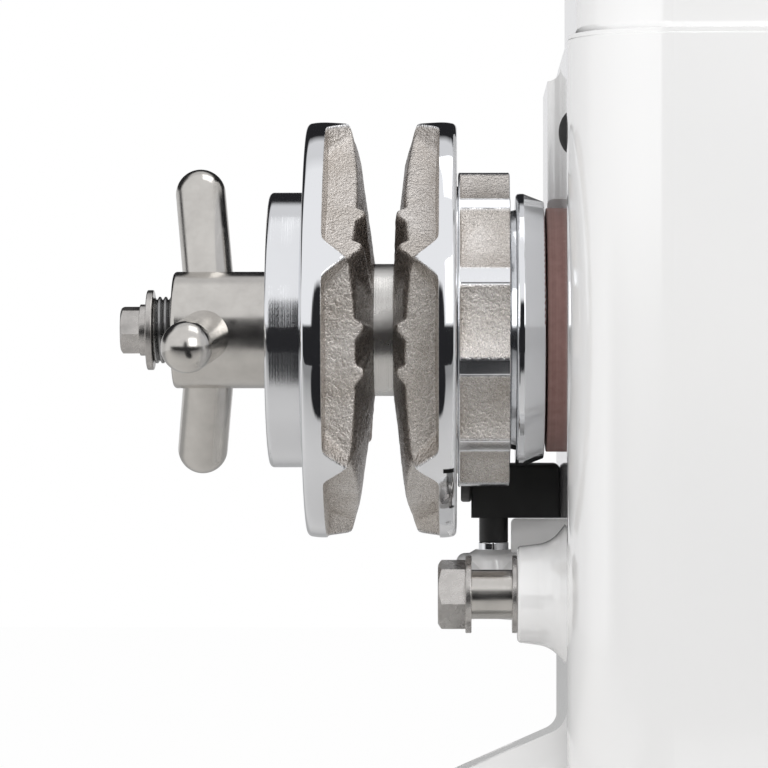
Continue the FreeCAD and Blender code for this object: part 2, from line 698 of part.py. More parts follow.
def motor_magnets():
    """Four curved magnets inside the can."""
    inner = ROTOR_R + 1
    low, high = MAGNETS_Z
    tube = spun([(inner, low), (MOTOR_BORE_R, low), (MOTOR_BORE_R, high), (inner, high)], 0, WORM_Y)
    gap, reach = MAGNET_GAP, MOTOR_R
    across = block(-reach, reach, WORM_Y - gap, WORM_Y + gap, low - 1, high + 1)
    along = block(-gap, gap, WORM_Y - reach, WORM_Y + reach, low - 1, high + 1)
    return tube.cut([across, along])


def motor_brushes():
    """Two carbon brushes hanging from the can beside the commutator."""
    near = COMMUTATOR_R + 0.2
    far = 2 * COMMUTATOR_R
    low = MAGNETS_Z[1]
    high = MOTOR_TOP_Z - MOTOR_R + MOTOR_BORE_R
    front = block(-4, 4, WORM_Y - far, WORM_Y - near, low, high)
    rear = block(-4, 4, WORM_Y + near, WORM_Y + far, low, high)
    return Part.makeCompound([front, rear])


def motor_terminals():
    """Two studs with nuts on top of the motor."""
    studs = []
    for x in TERMINAL_XS:
        nut = pillar(MOTOR_TOP_Z, MOTOR_TOP_Z + 4, 5.0, x, WORM_Y)
        studs.append(together([pillar(MOTOR_TOP_Z - 6, MOTOR_TOP_Z + 9, TERMINAL_R, x, WORM_Y), nut]))
    return Part.makeCompound(studs)


def motor_screws():
    """Four screws that hold the motor to the bracket."""
    down = Vector(0, 0, -1)
    return Part.makeCompound(
        [socket_screw(down, Vector(x, y, MOTOR_FOOT_Z), 14) for x, y in MOTOR_SCREWS]
    )


def worm_bearing(z0, z1):
    """Bearing of the worm shaft."""
    bore = WORM_SHAFT_R + RUNNING_GAP
    return spun([(bore, z0), (WORM_BEARING_R, z0), (WORM_BEARING_R, z1), (bore, z1)], 0, WORM_Y)


def worm_shaft():
    """Single-start worm with its shaft and the socket for the rotor."""
    lead = math.pi * MODULE
    root = WORM_PITCH_R - 1.25 * MODULE
    tip = WORM_PITCH_R + MODULE
    half = TOOTH_SHARE * lead / 2
    slope = math.tan(PRESSURE)

    def corner(r, sign):
        return Vector(r, 0, sign * (half - (r - WORM_PITCH_R) * slope))

    inside = root - 0.6
    loop = [corner(inside, -1), corner(tip, -1), corner(tip, 1), corner(inside, 1), corner(inside, -1)]
    turns = 2 * WORM_HALF / lead
    helix = Part.makeHelix(lead, 2 * WORM_HALF, WORM_PITCH_R)
    thread = Part.Wire(helix).makePipeShell([Part.makePolygon(loop)], True, True)
    thread.translate(Vector(0, 0, -WORM_HALF))
    crest = -90.0 - 360.0 * (0.5 * turns)
    thread.rotate(Vector(0, 0, 0), Vector(0, 0, 1), crest)
    thread.translate(Vector(0, WORM_Y, SHAFT_Z))
    low = SHAFT_Z - WORM_HALF - 5
    high = SHAFT_Z + WORM_HALF + 5
    core = spun(
        [(0, WORM_FOOT_Z), (WORM_SHAFT_R, WORM_FOOT_Z), (WORM_SHAFT_R, low), (root, low), (root, high),
         (WORM_SHAFT_R, high), (WORM_SHAFT_R, WORM_TOP_Z), (ROTOR_SHAFT_R, WORM_TOP_Z),
         (ROTOR_SHAFT_R, ROTOR_FOOT_Z), (0, ROTOR_FOOT_Z)], 0, WORM_Y
    )
    return core.fuse(thread)


def motor_rotor():
    """Rotor: shaft, stack and commutator."""
    stack = (216.0, 254.0)
    top = MOTOR_TOP_Z - 6
    profile = [
        (0, ROTOR_FOOT_Z), (ROTOR_SHAFT_R, ROTOR_FOOT_Z), (ROTOR_SHAFT_R, stack[0]), (ROTOR_R, stack[0]),
        (ROTOR_R, stack[1]), (COMMUTATOR_R, stack[1]), (COMMUTATOR_R, top), (0, top),
    ]
    return spun(profile, 0, WORM_Y)


# Shaft pieces

def key(x0, x1, half, low, high):
    """Key along the shaft, on its upper side."""
    return block(x0, x1, -half, half, SHAFT_Z + low, SHAFT_Z + high)


def wheel_key():
    """Key under the worm wheel."""
    return key(-12, 12, 4.0, 11.0, 18.3)


def cone_key():
    """Key under the drive cone."""
    return key(-97, -73, 3.0, 11.0, 17.0)


def disc_key():
    """Key that the clutch disc slides on."""
    return key(-151, -141, 2.5, 9.5, 14.5)


def main_shaft():
    """Shaft with keyways, thread, clip groove and a tapped hole in its left end."""
    profile = [
        (SHAFT_LEFT_X, 0), (SHAFT_LEFT_X, THREAD_R, 0.8), (-152.0, THREAD_R), (-152.0, DISC_SEAT_R),
        (-139.0, DISC_SEAT_R), (-139.0, GYPSY_SEAT_R), (CONE_BACK_X, GYPSY_SEAT_R),
        (CONE_BACK_X, BEARING_SEAT_R), (LEFT_BEARING[1], BEARING_SEAT_R), (LEFT_BEARING[1], COLLAR_R),
        (-14.0, COLLAR_R), (-14.0, BEARING_SEAT_R),
        (56.2, BEARING_SEAT_R), (56.2, 14.0), (57.6, 14.0), (57.6, BEARING_SEAT_R),
        (SHAFT_RIGHT_X, BEARING_SEAT_R, 1.0), (SHAFT_RIGHT_X, 0),
    ]
    shaft = turned(profile)
    length = 12 * THREAD_PITCH
    helix = Part.makeHelix(THREAD_PITCH, length, THREAD_R)
    wide = 0.45 * THREAD_PITCH
    crest = THREAD_R + 0.3
    loop = [Vector(crest, 0, -wide), Vector(THREAD_R - THREAD_DEPTH, 0, 0), Vector(crest, 0, wide)]
    groove = Part.Wire(helix).makePipeShell([Part.makePolygon(loop + loop[:1])], True, True)
    groove.rotate(Vector(0, 0, 0), Vector(0, 1, 0), 90)
    groove.translate(Vector(SHAFT_LEFT_X - THREAD_PITCH, 0, SHAFT_Z))
    tapped = rod(SHAFT_LEFT_X - 1, SHAFT_LEFT_X + 22, END_BOLT_R)
    return shaft.cut([groove, wheel_key(), cone_key(), disc_key(), tapped])


def worm_wheel():
    """Bronze wheel with thirty slanting teeth that mesh with the worm."""
    pitch_r = MODULE * WHEEL_TEETH / 2
    base_r = pitch_r * math.cos(PRESSURE)
    tip_r = pitch_r + MODULE
    root_r = pitch_r - 1.25 * MODULE
    half = TOOTH_SHARE * math.pi / WHEEL_TEETH
    involute_at_pitch = math.tan(PRESSURE) - PRESSURE

    def flank(r):
        a = math.acos(min(1.0, base_r / r))
        return half + involute_at_pitch - (math.tan(a) - a)

    tooth = [(root_r, -flank(base_r)), (base_r, -flank(base_r)), (pitch_r, -half), (tip_r, -flank(tip_r)),
             (tip_r, flank(tip_r)), (pitch_r, half), (base_r, flank(base_r)), (root_r, flank(base_r))]
    slant = WORM_SLANT * WHEEL_WIDTH / 2 / pitch_r

    def face_wire(x, turn):
        points = []
        for i in range(WHEEL_TEETH):
            middle = (i + 0.5) * 2 * math.pi / WHEEL_TEETH + turn
            for r, a in tooth:
                points.append(Vector(x, r * math.cos(middle + a), SHAFT_Z + r * math.sin(middle + a)))
        return Part.makePolygon(points + points[:1])

    teeth = Part.makeLoft(
        [face_wire(-WHEEL_WIDTH / 2, -slant), face_wire(WHEEL_WIDTH / 2, slant)], True, True
    )
    hub = ring(-14, 14, 25, 10)
    dish = ring(-12, -6, 38, 26)
    far_dish = ring(6, 12, 38, 26)
    bore = rod(-20, 20, BEARING_SEAT_R)
    return teeth.cut([dish, far_dish]).fuse(hub).cut([bore, wheel_key()])


def wheel_clip():
    """Clip on the shaft that holds the worm wheel against its collar."""
    return ring(14.0, 20.0, 20.0, BEARING_SEAT_R)


def shaft_clip():
    """Spring clip outside the right bearing."""
    clip = ring(56.2, 57.6, 18.0, 14.0)
    return clip.cut(block(50, 60, -3, 3, SHAFT_Z - 30, SHAFT_Z))


def drive_cone():
    """Cone fixed to the shaft that drives the chain wheel through its ratchet side."""
    profile = [
        (CONE_BACK_X, GYPSY_SEAT_R), (CONE_BACK_X, CONE_BACK_R, 0.6), (CONE_LIP_X + 2.4, CONE_LIP_R, 0.8),
        (CONE_LIP_X, CONE_LIP_R, 1.1), (CONE_LIP_X, CONE_ROOT_R), (CONE_END_X, CONE_TIP_R),
        (CONE_END_X, GYPSY_SEAT_R),
    ]
    return turned(profile).cut(cone_key())


def end_bolt():
    """Bolt in the left end of the shaft."""
    head = hexagon(-197.3, -191.6, 13.0, 10.0)
    return together([head, rod(-192, SHAFT_LEFT_X + 20, END_BOLT_R)])


def end_spring_washer():
    """Split spring washer under the end bolt."""
    washer = ring(-191.6, -189.4, 7.7, END_BOLT_R + 0.1, round_=0.3)
    return washer.cut(block(-200, -180, 2, 3, SHAFT_Z, SHAFT_Z + 20))


def end_washer():
    """Wide washer that keeps the clutch nut from coming off."""
    return ring(-189.4, SHAFT_LEFT_X, 12.0, END_BOLT_R + 0.1, round_=0.4)


# Clutch pieces

def clutch_disc():
    """Disc that slides on its key and presses a cone into the chain wheel."""
    profile = [
        (DISC_LEFT_X, DISC_SEAT_R + RUNNING_GAP), (DISC_LEFT_X, DISC_R, 1.4), (DISC_RIGHT_X, DISC_R, 1.0),
        (DISC_RIGHT_X, DISC_CONE_R), (DISC_CONE_END_X, CONE_TIP_R),
        (DISC_CONE_END_X, GYPSY_SEAT_R + BODY_GAP), (DISC_BACK_X, GYPSY_SEAT_R + BODY_GAP),
        (DISC_BACK_X, DISC_SEAT_R + RUNNING_GAP),
    ]
    keyway = key(-160, -120, 2.5 + BODY_GAP, 9.0, 14.5 + BODY_GAP)
    return turned(profile).cut(keyway)


def handle(angle):
    """Handle with a round end, leaning outward, with a spigot in the hub."""
    lean = math.radians(HANDLE_LEAN)
    axis = radial(angle) * math.cos(lean) + Vector(-1, 0, 0) * math.sin(lean)
    foot = Vector(HANDLE_AXIS_X, 0, SHAFT_Z)
    length = (HANDLE_REACH - HANDLE_R) / math.cos(lean)
    grip = Part.makeCylinder(HANDLE_R, length, foot, axis)
    end = Part.makeSphere(HANDLE_R, foot + axis * length)
    grip = together([grip, end]).cut(rod(-200, -140, HUB_R))
    spigot = Part.makeCylinder(SPIGOT_R, SPIGOT_LENGTH, foot + axis * SPIGOT_FOOT, axis)
    return together([grip, spigot])


def clutch_hub():
    """Nut on the shaft thread, with sockets for the three handles."""
    profile = [(HUB_LEFT_X, THREAD_R + RUNNING_GAP), (HUB_LEFT_X, HUB_R, 1.2), (HUB_RIGHT_X, HUB_R, 0.5),
               (HUB_RIGHT_X, THREAD_R + RUNNING_GAP)]
    return turned(profile).cut([handle(a) for a in HANDLE_ANGLES])


# Chain wheel pieces

def pocket_wire(x, grow):
    """Section of one pocket: a flat floor with rounded corners and sloping ends."""
    half = POCKET_HALF + grow
    flare = half + (POCKET_TOP - POCKET_FLOOR)
    points = [(-flare, POCKET_TOP), (-half, POCKET_FLOOR, POCKET_ROUND), (half, POCKET_FLOOR, POCKET_ROUND),
              (flare, POCKET_TOP)]
    return outline(points, lambda p: Vector(x, -p.y, SHAFT_Z + p.x))


def pocket_tools(band_x, face_x):
    """Six pockets from the polished band to the open side, wider towards the chain."""
    grow = POCKET_SPREAD * abs(face_x - band_x)
    one = Part.makeLoft([pocket_wire(band_x, 0.0), pocket_wire(face_x, grow)], True, True)
    step = 360.0 / POCKETS
    return [about_shaft(one, LAND_ANGLE + step * (i + 0.5)) for i in range(POCKETS)]


def ribs(face, side):
    """Ribs on the side face that grip the upright links: they rise outwards, in two like groups."""
    crest = [(x + side * RIB_RISE * max(r - RIB_FOOT_R, 0.0), r) for x, r in face]
    root = [(x - side * CASTING_OVERLAP, r) for x, r in reversed(face)]
    wire = outline(crest + root, lambda p: Vector(p.x, -p.y, SHAFT_Z - RIB_HALF))
    one = Part.Face(wire).extrude(Vector(0, 0, 2 * RIB_HALF))
    step = 360.0 / RIB_GROUPS
    return [about_shaft(one, angle + step * i) for angle in RIB_ANGLES for i in range(RIB_GROUPS)]


def gypsy_outer_half():
    """Outer half of the chain wheel."""
    profile = [(OUTER_V_FACE[0][0], BUSH_R)] + OUTER_V_FACE + [
        (GYPSY_LEFT_X, GYPSY_R, RIM_ROUND), (GYPSY_LEFT_X, DISC_CONE_R + BODY_GAP + 0.1),
        (DISC_CONE_END_X + BODY_GAP, CONE_TIP_R + BODY_GAP), (DISC_CONE_END_X + BODY_GAP, BUSH_R),
    ]
    half = together([turned(profile)] + ribs(OUTER_V_FACE, 1))
    return half.cut(pocket_tools(OUTER_BAND_X, POCKET_OPEN_X[0])).cut(gypsy_dowels())


def gypsy_inner_half():
    """Inner half of the chain wheel, with the seat of the ratchet ring."""
    seat = RATCHET_LEFT_X - RATCHET_SEAT
    profile = [(INNER_V_FACE[0][0], BUSH_R)] + INNER_V_FACE + [
        (GYPSY_RIGHT_X, GYPSY_R, RIM_ROUND), (GYPSY_RIGHT_X, RATCHET_SPIGOT_R), (seat, RATCHET_SPIGOT_R),
        (seat, CONE_TIP_R + 2 * BODY_GAP), (BUSH_RIGHT_X, CONE_TIP_R + BODY_GAP), (BUSH_RIGHT_X, BUSH_R),
    ]
    half = together([turned(profile)] + ribs(INNER_V_FACE, -1))
    half = half.cut(pocket_tools(INNER_BAND_X, POCKET_OPEN_X[1]))
    return half.cut([gypsy_dowels(), counter_magnet(), ratchet_screws()])


def gypsy_sleeve():
    """Plain sleeve between the halves, at the bottom of the chain groove."""
    return ring(OUTER_V_FACE[0][0], INNER_V_FACE[0][0], SLEEVE_R, BUSH_R).cut(gypsy_dowels())


def gypsy_bush():
    """Bronze bush that lets the chain wheel run free on the shaft."""
    return ring(BUSH_LEFT_X, BUSH_RIGHT_X, BUSH_R, GYPSY_SEAT_R + RUNNING_GAP)


def gypsy_dowels():
    """Three dowels that tie the two halves through the sleeve."""
    pins = []
    for i in range(DOWELS):
        spot = radial(30 + 360 / DOWELS * i) * DOWEL_CIRCLE_R
        pins.append(rod(*DOWEL_SPAN, DOWEL_R, spot.y, SHAFT_Z + spot.z))
    return Part.makeCompound(pins)


def counter_magnet():
    """Magnet in the back of the chain wheel that the sensor counts."""
    spot = radial(MAGNET_ANGLE) * MAGNET_CIRCLE_R
    return rod(GYPSY_RIGHT_X - MAGNET_T, GYPSY_RIGHT_X, MAGNET_R, spot.y, SHAFT_Z + spot.z)


def ratchet_ring():
    """Ring with scooped teeth on the back of the chain wheel."""
    slope = (CONE_ROOT_R - CONE_TIP_R) / (CONE_LIP_X - CONE_END_X)
    left = RATCHET_LEFT_X - RATCHET_SEAT

    def bore(x):
        return CONE_ROOT_R + 2 * BODY_GAP - slope * (CONE_LIP_X - x)

    profile = [
        (RATCHET_RIGHT_X, bore(RATCHET_RIGHT_X)), (RATCHET_RIGHT_X, RATCHET_R, 0.8),
        (RATCHET_LEFT_X, RATCHET_R, 0.5),
        (RATCHET_LEFT_X, RATCHET_SPIGOT_R), (left, RATCHET_SPIGOT_R), (left, bore(left)),
    ]
    pitch = 360.0 / RATCHET_TEETH
    first, last = RATCHET_LEFT_X + RATCHET_WEB, RATCHET_RIGHT_X + 5
    scoops = []
    for i in range(RATCHET_TEETH):
        spot = radial(RATCHET_FIRST + pitch * (i + 0.5)) * (RATCHET_FLOOR_R + RATCHET_SCOOP_R)
        scoops.append(rod(first, last, RATCHET_SCOOP_R, spot.y, SHAFT_Z + spot.z))
    return turned(profile).cut(scoops).cut(ratchet_screws())


def ratchet_screws():
    """Four cap screws that hold the ratchet ring to the chain wheel."""
    screws = []
    for i in range(RATCHET_SCREWS):
        turn = 360 / RATCHET_SCREWS * (i + 0.5)
        spot = radial(turn) * RATCHET_SCREW_CIRCLE_R + Vector(RATCHET_RIGHT_X - 4.4, 0, SHAFT_Z)
        screws.append(socket_screw(Vector(-1, 0, 0), spot, 18.0, RATCHET_SCREW_SIZE))
    return Part.makeCompound(screws)


PIECES = {
    "lower_housing": lower_housing,
    "upper_cover": upper_cover,
    "cover_screws": cover_screws,
    "bottom_plate": bottom_plate,
    "bottom_screws": bottom_screws,
    "cable_gland": cable_gland,
    "left_bearing_outer": lambda: bearing(LEFT_BEARING, "outer"),
    "left_bearing_balls": lambda: bearing(LEFT_BEARING, "balls"),
    "left_bearing_inner": lambda: bearing(LEFT_BEARING, "inner"),
    "right_bearing_outer": lambda: bearing(RIGHT_BEARING, "outer"),
    "right_bearing_balls": lambda: bearing(RIGHT_BEARING, "balls"),
    "right_bearing_inner": lambda: bearing(RIGHT_BEARING, "inner"),
    "shaft_seal": shaft_seal,
    "bearing_cap": bearing_cap,
    "cap_gasket": cap_gasket,
    "cap_screws": cap_screws,
    "fibre_ring": fibre_ring,
    "boss_bolt": boss_bolt,
    "boss_washers": boss_washers,
    "boss_spacer": boss_spacer,
    "wall_plug": wall_plug,
    "sensor_post": sensor_post,
    "post_nut": post_nut,
    "sensor_holder": sensor_holder,
    "sensor_tip": sensor_tip,
    "motor_end_plate": motor_end_plate,
    "motor_can": motor_can,
    "motor_magnets": motor_magnets,
    "motor_brushes": motor_brushes,
    "motor_terminals": motor_terminals,
    "motor_screws": motor_screws,
    "worm_lower_bearing": lambda: worm_bearing(LOW_BRACKET_FOOT_Z + 2, LOW_BRACKET_TOP_Z),
    "worm_upper_bearing": lambda: worm_bearing(BRACKET_FOOT_Z, BRACKET_TOP_Z),
    "worm_shaft": worm_shaft,
    "motor_rotor": motor_rotor,
    "main_shaft": main_shaft,
    "worm_wheel": worm_wheel,
    "wheel_key": wheel_key,
    "cone_key": cone_key,
    "disc_key": disc_key,
    "wheel_clip": wheel_clip,
    "shaft_clip": shaft_clip,
    "drive_cone": drive_cone,
    "end_bolt": end_bolt,
    "end_spring_washer": end_spring_washer,
    "end_washer": end_washer,
    "clutch_disc": clutch_disc,
    "clutch_hub": clutch_hub,
    "handle_front": lambda: handle(HANDLE_ANGLES[0]),
    "handle_upper": lambda: handle(HANDLE_ANGLES[1]),
    "handle_lower": lambda: handle(HANDLE_ANGLES[2]),
    "gypsy_outer_half": gypsy_outer_half,
    "gypsy_inner_half": gypsy_inner_half,
    "gypsy_sleeve": gypsy_sleeve,
    "gypsy_bush": gypsy_bush,
    "gypsy_dowels": gypsy_dowels,
    "counter_magnet": counter_magnet,
    "ratchet_ring": ratchet_ring,
    "ratchet_screws": ratchet_screws,
}

os.makedirs("parts", exist_ok=True)
for name, make in PIECES.items():
    shape = make()
    shape.exportStep(f"parts/{name}.step")
    print(f"{name}: {len(shape.Solids)} solid, valid {shape.isValid()}, {shape.Volume / 1000:.2f} cm3")
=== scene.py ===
# %% [markdown]
# # An anchor windlass, dressed for the studio
#
# The solids of this windlass were made first, as separate pieces that turn and slide. This lesson loads
# them as a fixed frame and gives them their looks: gloss enamel, polished plating, rough casting, satin
# stainless steel. The pieces with real relief, such as the chain wheel, are worked out again here as
# surfaces of two parameters.

# %% Load the frame
import bpy
import json
import math
import numpy as np
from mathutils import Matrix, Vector


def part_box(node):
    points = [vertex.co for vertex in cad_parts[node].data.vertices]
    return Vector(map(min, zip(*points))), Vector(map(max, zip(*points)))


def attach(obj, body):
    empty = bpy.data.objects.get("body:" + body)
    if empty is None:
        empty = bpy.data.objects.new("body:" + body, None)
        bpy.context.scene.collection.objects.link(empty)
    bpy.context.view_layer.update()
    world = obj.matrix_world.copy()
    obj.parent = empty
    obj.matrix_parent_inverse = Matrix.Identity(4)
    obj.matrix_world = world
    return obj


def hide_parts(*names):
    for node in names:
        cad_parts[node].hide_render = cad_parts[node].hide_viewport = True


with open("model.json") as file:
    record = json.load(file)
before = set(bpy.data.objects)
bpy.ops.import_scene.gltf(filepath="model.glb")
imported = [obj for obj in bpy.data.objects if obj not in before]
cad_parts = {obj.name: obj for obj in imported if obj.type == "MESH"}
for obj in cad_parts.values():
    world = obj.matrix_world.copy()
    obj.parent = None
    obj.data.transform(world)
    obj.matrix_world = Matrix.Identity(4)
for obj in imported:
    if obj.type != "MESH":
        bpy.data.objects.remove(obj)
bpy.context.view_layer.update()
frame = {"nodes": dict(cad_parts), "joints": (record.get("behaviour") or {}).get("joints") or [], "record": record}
MM = 0.001
nodes = frame["nodes"]

# %% [markdown]
# ## The shaft line
#
# Nearly every bright piece is turned about one shaft, so its height is needed everywhere. The shaft joint
# in the frame gives it, and no number has to be copied.

# %% The shaft line
shaft_joint = next(j for j in frame["joints"] if j["name"] == "shaft_spin")
SHAFT_Z = shaft_joint["pos_m"][2]
print(f"the shaft is {SHAFT_Z / MM:.0f} mm above the deck")

# %% [markdown]
# ## The camera
#
# The photograph is a close view with a long lens, level, from a little over a metre away. It is turned a
# little to the left, so that the side wall of the housing is seen edge on.

# %% The camera
CAMERA_X = -94.1 * MM
CAMERA_Z = 127.8 * MM
CAMERA_DISTANCE = 1.2
FRAME_WIDTH = 230.4 * MM
TARGET_X = -118.4 * MM
SENSOR = 36.0
NEAR_CLIP = 0.05

camera_data = bpy.data.cameras.new("camera")
camera = bpy.data.objects.new("camera", camera_data)
bpy.context.collection.objects.link(camera)
place = Vector((CAMERA_X, -CAMERA_DISTANCE, CAMERA_Z))
target = Vector((TARGET_X, 0.0, CAMERA_Z))
camera.location = place
camera.rotation_euler = (target - place).to_track_quat("-Z", "Y").to_euler()
camera_data.sensor_width = SENSOR
camera_data.lens = SENSOR * (target - place).length / FRAME_WIDTH
camera_data.clip_start = NEAR_CLIP
bpy.context.scene.camera = camera
print(f"lens {camera_data.lens:.1f} mm")

# %% [markdown]
# ## Helpers for materials
#
# A material is a small graph. `Graph` adds a node, sets its plain values and joins its links in one call,
# so that each finish below reads as a short list.


# %% Helpers for materials
class Graph:
    """A node tree with one call for each node: keyword values are set, sockets are linked."""

    def __init__(self, tree):
        self.tree = tree
        self.tree.nodes.clear()

    def add(self, kind, values=None, **settings):
        """A new node. Settings are its properties; values go to its inputs, by name or by number."""
        made = self.tree.nodes.new(kind)
        for name, value in settings.items():
            setattr(made, name, value)
        for name, value in (values or {}).items():
            if isinstance(value, bpy.types.NodeSocket):
                self.tree.links.new(value, made.inputs[name])
            else:
                made.inputs[name].default_value = value
        return made

    def math(self, operation, a, b=0.0):
        """One sum on single numbers."""
        return self.add("ShaderNodeMath", {0: a, 1: b}, operation=operation).outputs[0]

    def span(self, value, low, high, to_low=0.0, to_high=1.0):
        """The value carried from one range to another, and held at the ends."""
        made = self.add(
            "ShaderNodeMapRange",
            {"Value": value, "From Min": low, "From Max": high, "To Min": to_low, "To Max": to_high},
        )
        return made.outputs["Result"]

    def tint(self, factor, first, second):
        """A colour between two colours."""
        made = self.add("ShaderNodeMix", {"Factor": factor}, data_type="RGBA")
        for socket, colour in ((made.inputs[6], first), (made.inputs[7], second)):
            if isinstance(colour, bpy.types.NodeSocket):
                self.tree.links.new(colour, socket)
            else:
                socket.default_value = (*colour, 1.0)
        return made.outputs[2]

    def noise(self, where, scale, detail=3.0, roughness=0.5):
        """Soft noise with about `scale` lumps to the metre."""
        return self.add(
            "ShaderNodeTexNoise",
            {"Vector": where, "Scale": scale, "Detail": detail, "Roughness": roughness},
        ).outputs["Fac"]

    def bump(self, height, distance, strength=1.0):
        """A normal from a height map, with its depth in metres."""
        return self.add(
            "ShaderNodeBump", {"Height": height, "Distance": distance, "Strength": strength}
        ).outputs["Normal"]


def new_finish(name):
    """A material with one principled shader, and its graph."""
    material = bpy.data.materials.new(name)
    material.use_nodes = True
    graph = Graph(material.node_tree)
    shader = graph.add("ShaderNodeBsdfPrincipled")
    graph.add("ShaderNodeOutputMaterial", {"Surface": shader.outputs[0]})
    where = graph.add("ShaderNodeTexCoord").outputs["Object"]
    return material, graph, shader, where


def settle(graph, shader, **inputs):
    """Sets or links inputs of the principled shader by name, with _ for a space."""
    for name, value in inputs.items():
        socket = shader.inputs[name.replace("_", " ")]
        if isinstance(value, bpy.types.NodeSocket):
            graph.tree.links.new(value, socket)
        elif isinstance(value, tuple):
            socket.default_value = (*value, 1.0)
        else:
            socket.default_value = value


def turned_place(graph, where):
    """Coordinates of a turned piece: along the shaft and out from it, with no angle.

    A pattern on these two numbers runs in rings about the shaft, as the marks of a lathe do."""
    parts = graph.add("ShaderNodeSeparateXYZ", {0: where})
    up = graph.math("SUBTRACT", parts.outputs["Z"], SHAFT_Z)
    out = graph.math("SQRT", graph.math("ADD", graph.math("POWER", parts.outputs["Y"], 2.0),
                                        graph.math("POWER", up, 2.0)))
    return graph.add("ShaderNodeCombineXYZ", {"X": parts.outputs["X"], "Y": out}).outputs[0]


# %% [markdown]
# ## White enamel
#
# The housing is a casting under thick gloss enamel. Sprayed enamel isn't quite flat: it has a faint
# orange-peel swell a few millimetres long, which only shows in its reflections.


# %% White enamel
ENAMEL_COOL = (0.845, 0.845, 0.845)
ENAMEL_WARM = (0.875, 0.87, 0.865)
SWELLS_PER_METRE = 220.0
SWELL_DEPTH = 0.00005
CLOUDS_PER_METRE = 14.0


def enamel_finish():
    """Thick gloss paint: pale, a little warm in places, with a slow swell in its surface."""
    material, graph, shader, where = new_finish("white_enamel")
    swell = graph.noise(where, SWELLS_PER_METRE, detail=2.0)
    cloud = graph.noise(where, CLOUDS_PER_METRE, detail=3.0)
    settle(
        graph, shader,
        Base_Color=graph.tint(cloud, ENAMEL_COOL, ENAMEL_WARM),
        Roughness=graph.span(cloud, 0.3, 0.7, 0.10, 0.16),
        Specular_IOR_Level=1.0, Coat_Weight=1.0, Coat_Roughness=0.05,
        Normal=graph.bump(swell, SWELL_DEPTH, 0.3),
    )
    return material


# %% [markdown]
# ## Polished plating
#
# The clutch disc, the drive cone and the rims of the chain wheel are polished and plated. Polishing leaves
# hair-fine rings about the shaft. They hardly show as lines, but they draw reflections out along the rim.


# %% Polished plating
PLATE_COLOUR = (0.80, 0.81, 0.83)
POLISH_RINGS = 3000.0
POLISH_DEPTH = 0.000005
SMEARS_PER_METRE = 60.0


def ring_marks(graph, where, per_metre):
    """Noise in rings about the shaft."""
    return graph.noise(turned_place(graph, where), per_metre, detail=4.0, roughness=0.65)


def plated_finish(name, rough, colour=PLATE_COLOUR, per_metre=POLISH_RINGS, depth=POLISH_DEPTH):
    """Bright metal with the fine rings that polishing or turning leaves, of a depth in metres."""
    material, graph, shader, where = new_finish(name)
    rings = ring_marks(graph, where, per_metre)
    smear = graph.noise(where, SMEARS_PER_METRE, detail=4.0)
    settle(
        graph, shader,
        Base_Color=graph.tint(smear, colour, tuple(0.93 * c for c in colour)),
        Metallic=1.0,
        Roughness=graph.span(smear, 0.3, 0.75, rough * 0.7, rough * 1.5),
        Normal=graph.bump(rings, depth),
    )
    return material


# %% [markdown]
# ## Rough casting
#
# The link pockets and the ratchet recesses are left as they came out of the sand, and only then plated: a
# warm grey metal with a pebbly grain that sparkles. The same material carries the polished rims. Three
# attributes on the mesh say what is where: cast for the grain, a second for painted shade that darkens the
# V faces, and a third for the painted shade of a slot and a hole in a rim.


# %% Rough casting
CAST_COLOUR = (0.70, 0.665, 0.635)
STAIN_COLOUR = (0.55, 0.51, 0.47)
# painted shade: a darker grey for the V faces of the chain wheel
V_FACE_SHADE_COLOUR = (0.40, 0.365, 0.34)
# painted shade: near black for a slot and a hole in the rim
RIM_HOLE_SHADE_COLOUR = (0.012, 0.012, 0.012)
GRAINS_PER_METRE = 1300.0
PITS_PER_METRE = 480.0
PIT_SHARE = 0.5
STAINS_PER_METRE = 70.0
RING_SHARE = 0.006
GRAIN_DEPTH = 0.00062


def casting_finish(name, polish):
    """Rough grain where the attribute cast is 1, and where it is 0 a polish of the given roughness."""
    material, graph, shader, where = new_finish(name)
    cast = graph.add("ShaderNodeAttribute", attribute_name="cast").outputs["Fac"]
    v_face_shade = graph.add("ShaderNodeAttribute", attribute_name="v_face_shade").outputs["Fac"]
    rim_hole_shade = graph.add("ShaderNodeAttribute", attribute_name="rim_hole_shade").outputs["Fac"]
    grain = graph.noise(where, GRAINS_PER_METRE, detail=3.0, roughness=0.6)
    pits = graph.noise(where, PITS_PER_METRE, detail=2.0)
    stain = graph.noise(where, STAINS_PER_METRE, detail=4.0)
    rings = ring_marks(graph, where, POLISH_RINGS)
    open_floor = graph.tint(graph.span(stain, 0.35, 0.7), CAST_COLOUR, STAIN_COLOUR)
    # painted shade: the V faces are tinted a darker grey than the open floor, for the shade that falls on them
    rough_tone_and_shade = graph.tint(v_face_shade, open_floor, V_FACE_SHADE_COLOUR)
    height = graph.math("ADD", grain, graph.math("MULTIPLY", pits, PIT_SHARE))
    deep = graph.math("MULTIPLY", height, cast)
    fine = graph.math("MULTIPLY", rings, RING_SHARE)
    settle(
        graph, shader,
        # painted shade: near black where the rim has a slot and a hole
        Base_Color=graph.tint(rim_hole_shade, graph.tint(cast, PLATE_COLOUR, rough_tone_and_shade), RIM_HOLE_SHADE_COLOUR),
        Metallic=1.0,
        Roughness=graph.add(
            "ShaderNodeMix", {0: cast, 2: polish, 3: graph.span(grain, 0.35, 0.65, 0.18, 0.36)}
        ).outputs[0],
        Normal=graph.bump(graph.math("ADD", deep, fine), GRAIN_DEPTH, 1.0),
    )
    return material


# %% [markdown]
# ## Steels
#
# The clutch nut and its handles are satin stainless, warmer and softer than the plating. The bolts and
# washers are plain stainless with a mottled, handled surface. The shaft is darker.


# %% Steels
BLOTCHES_PER_METRE = 140.0
LINES_PER_METRE = 2200.0
LINE_DEPTH = 0.00002


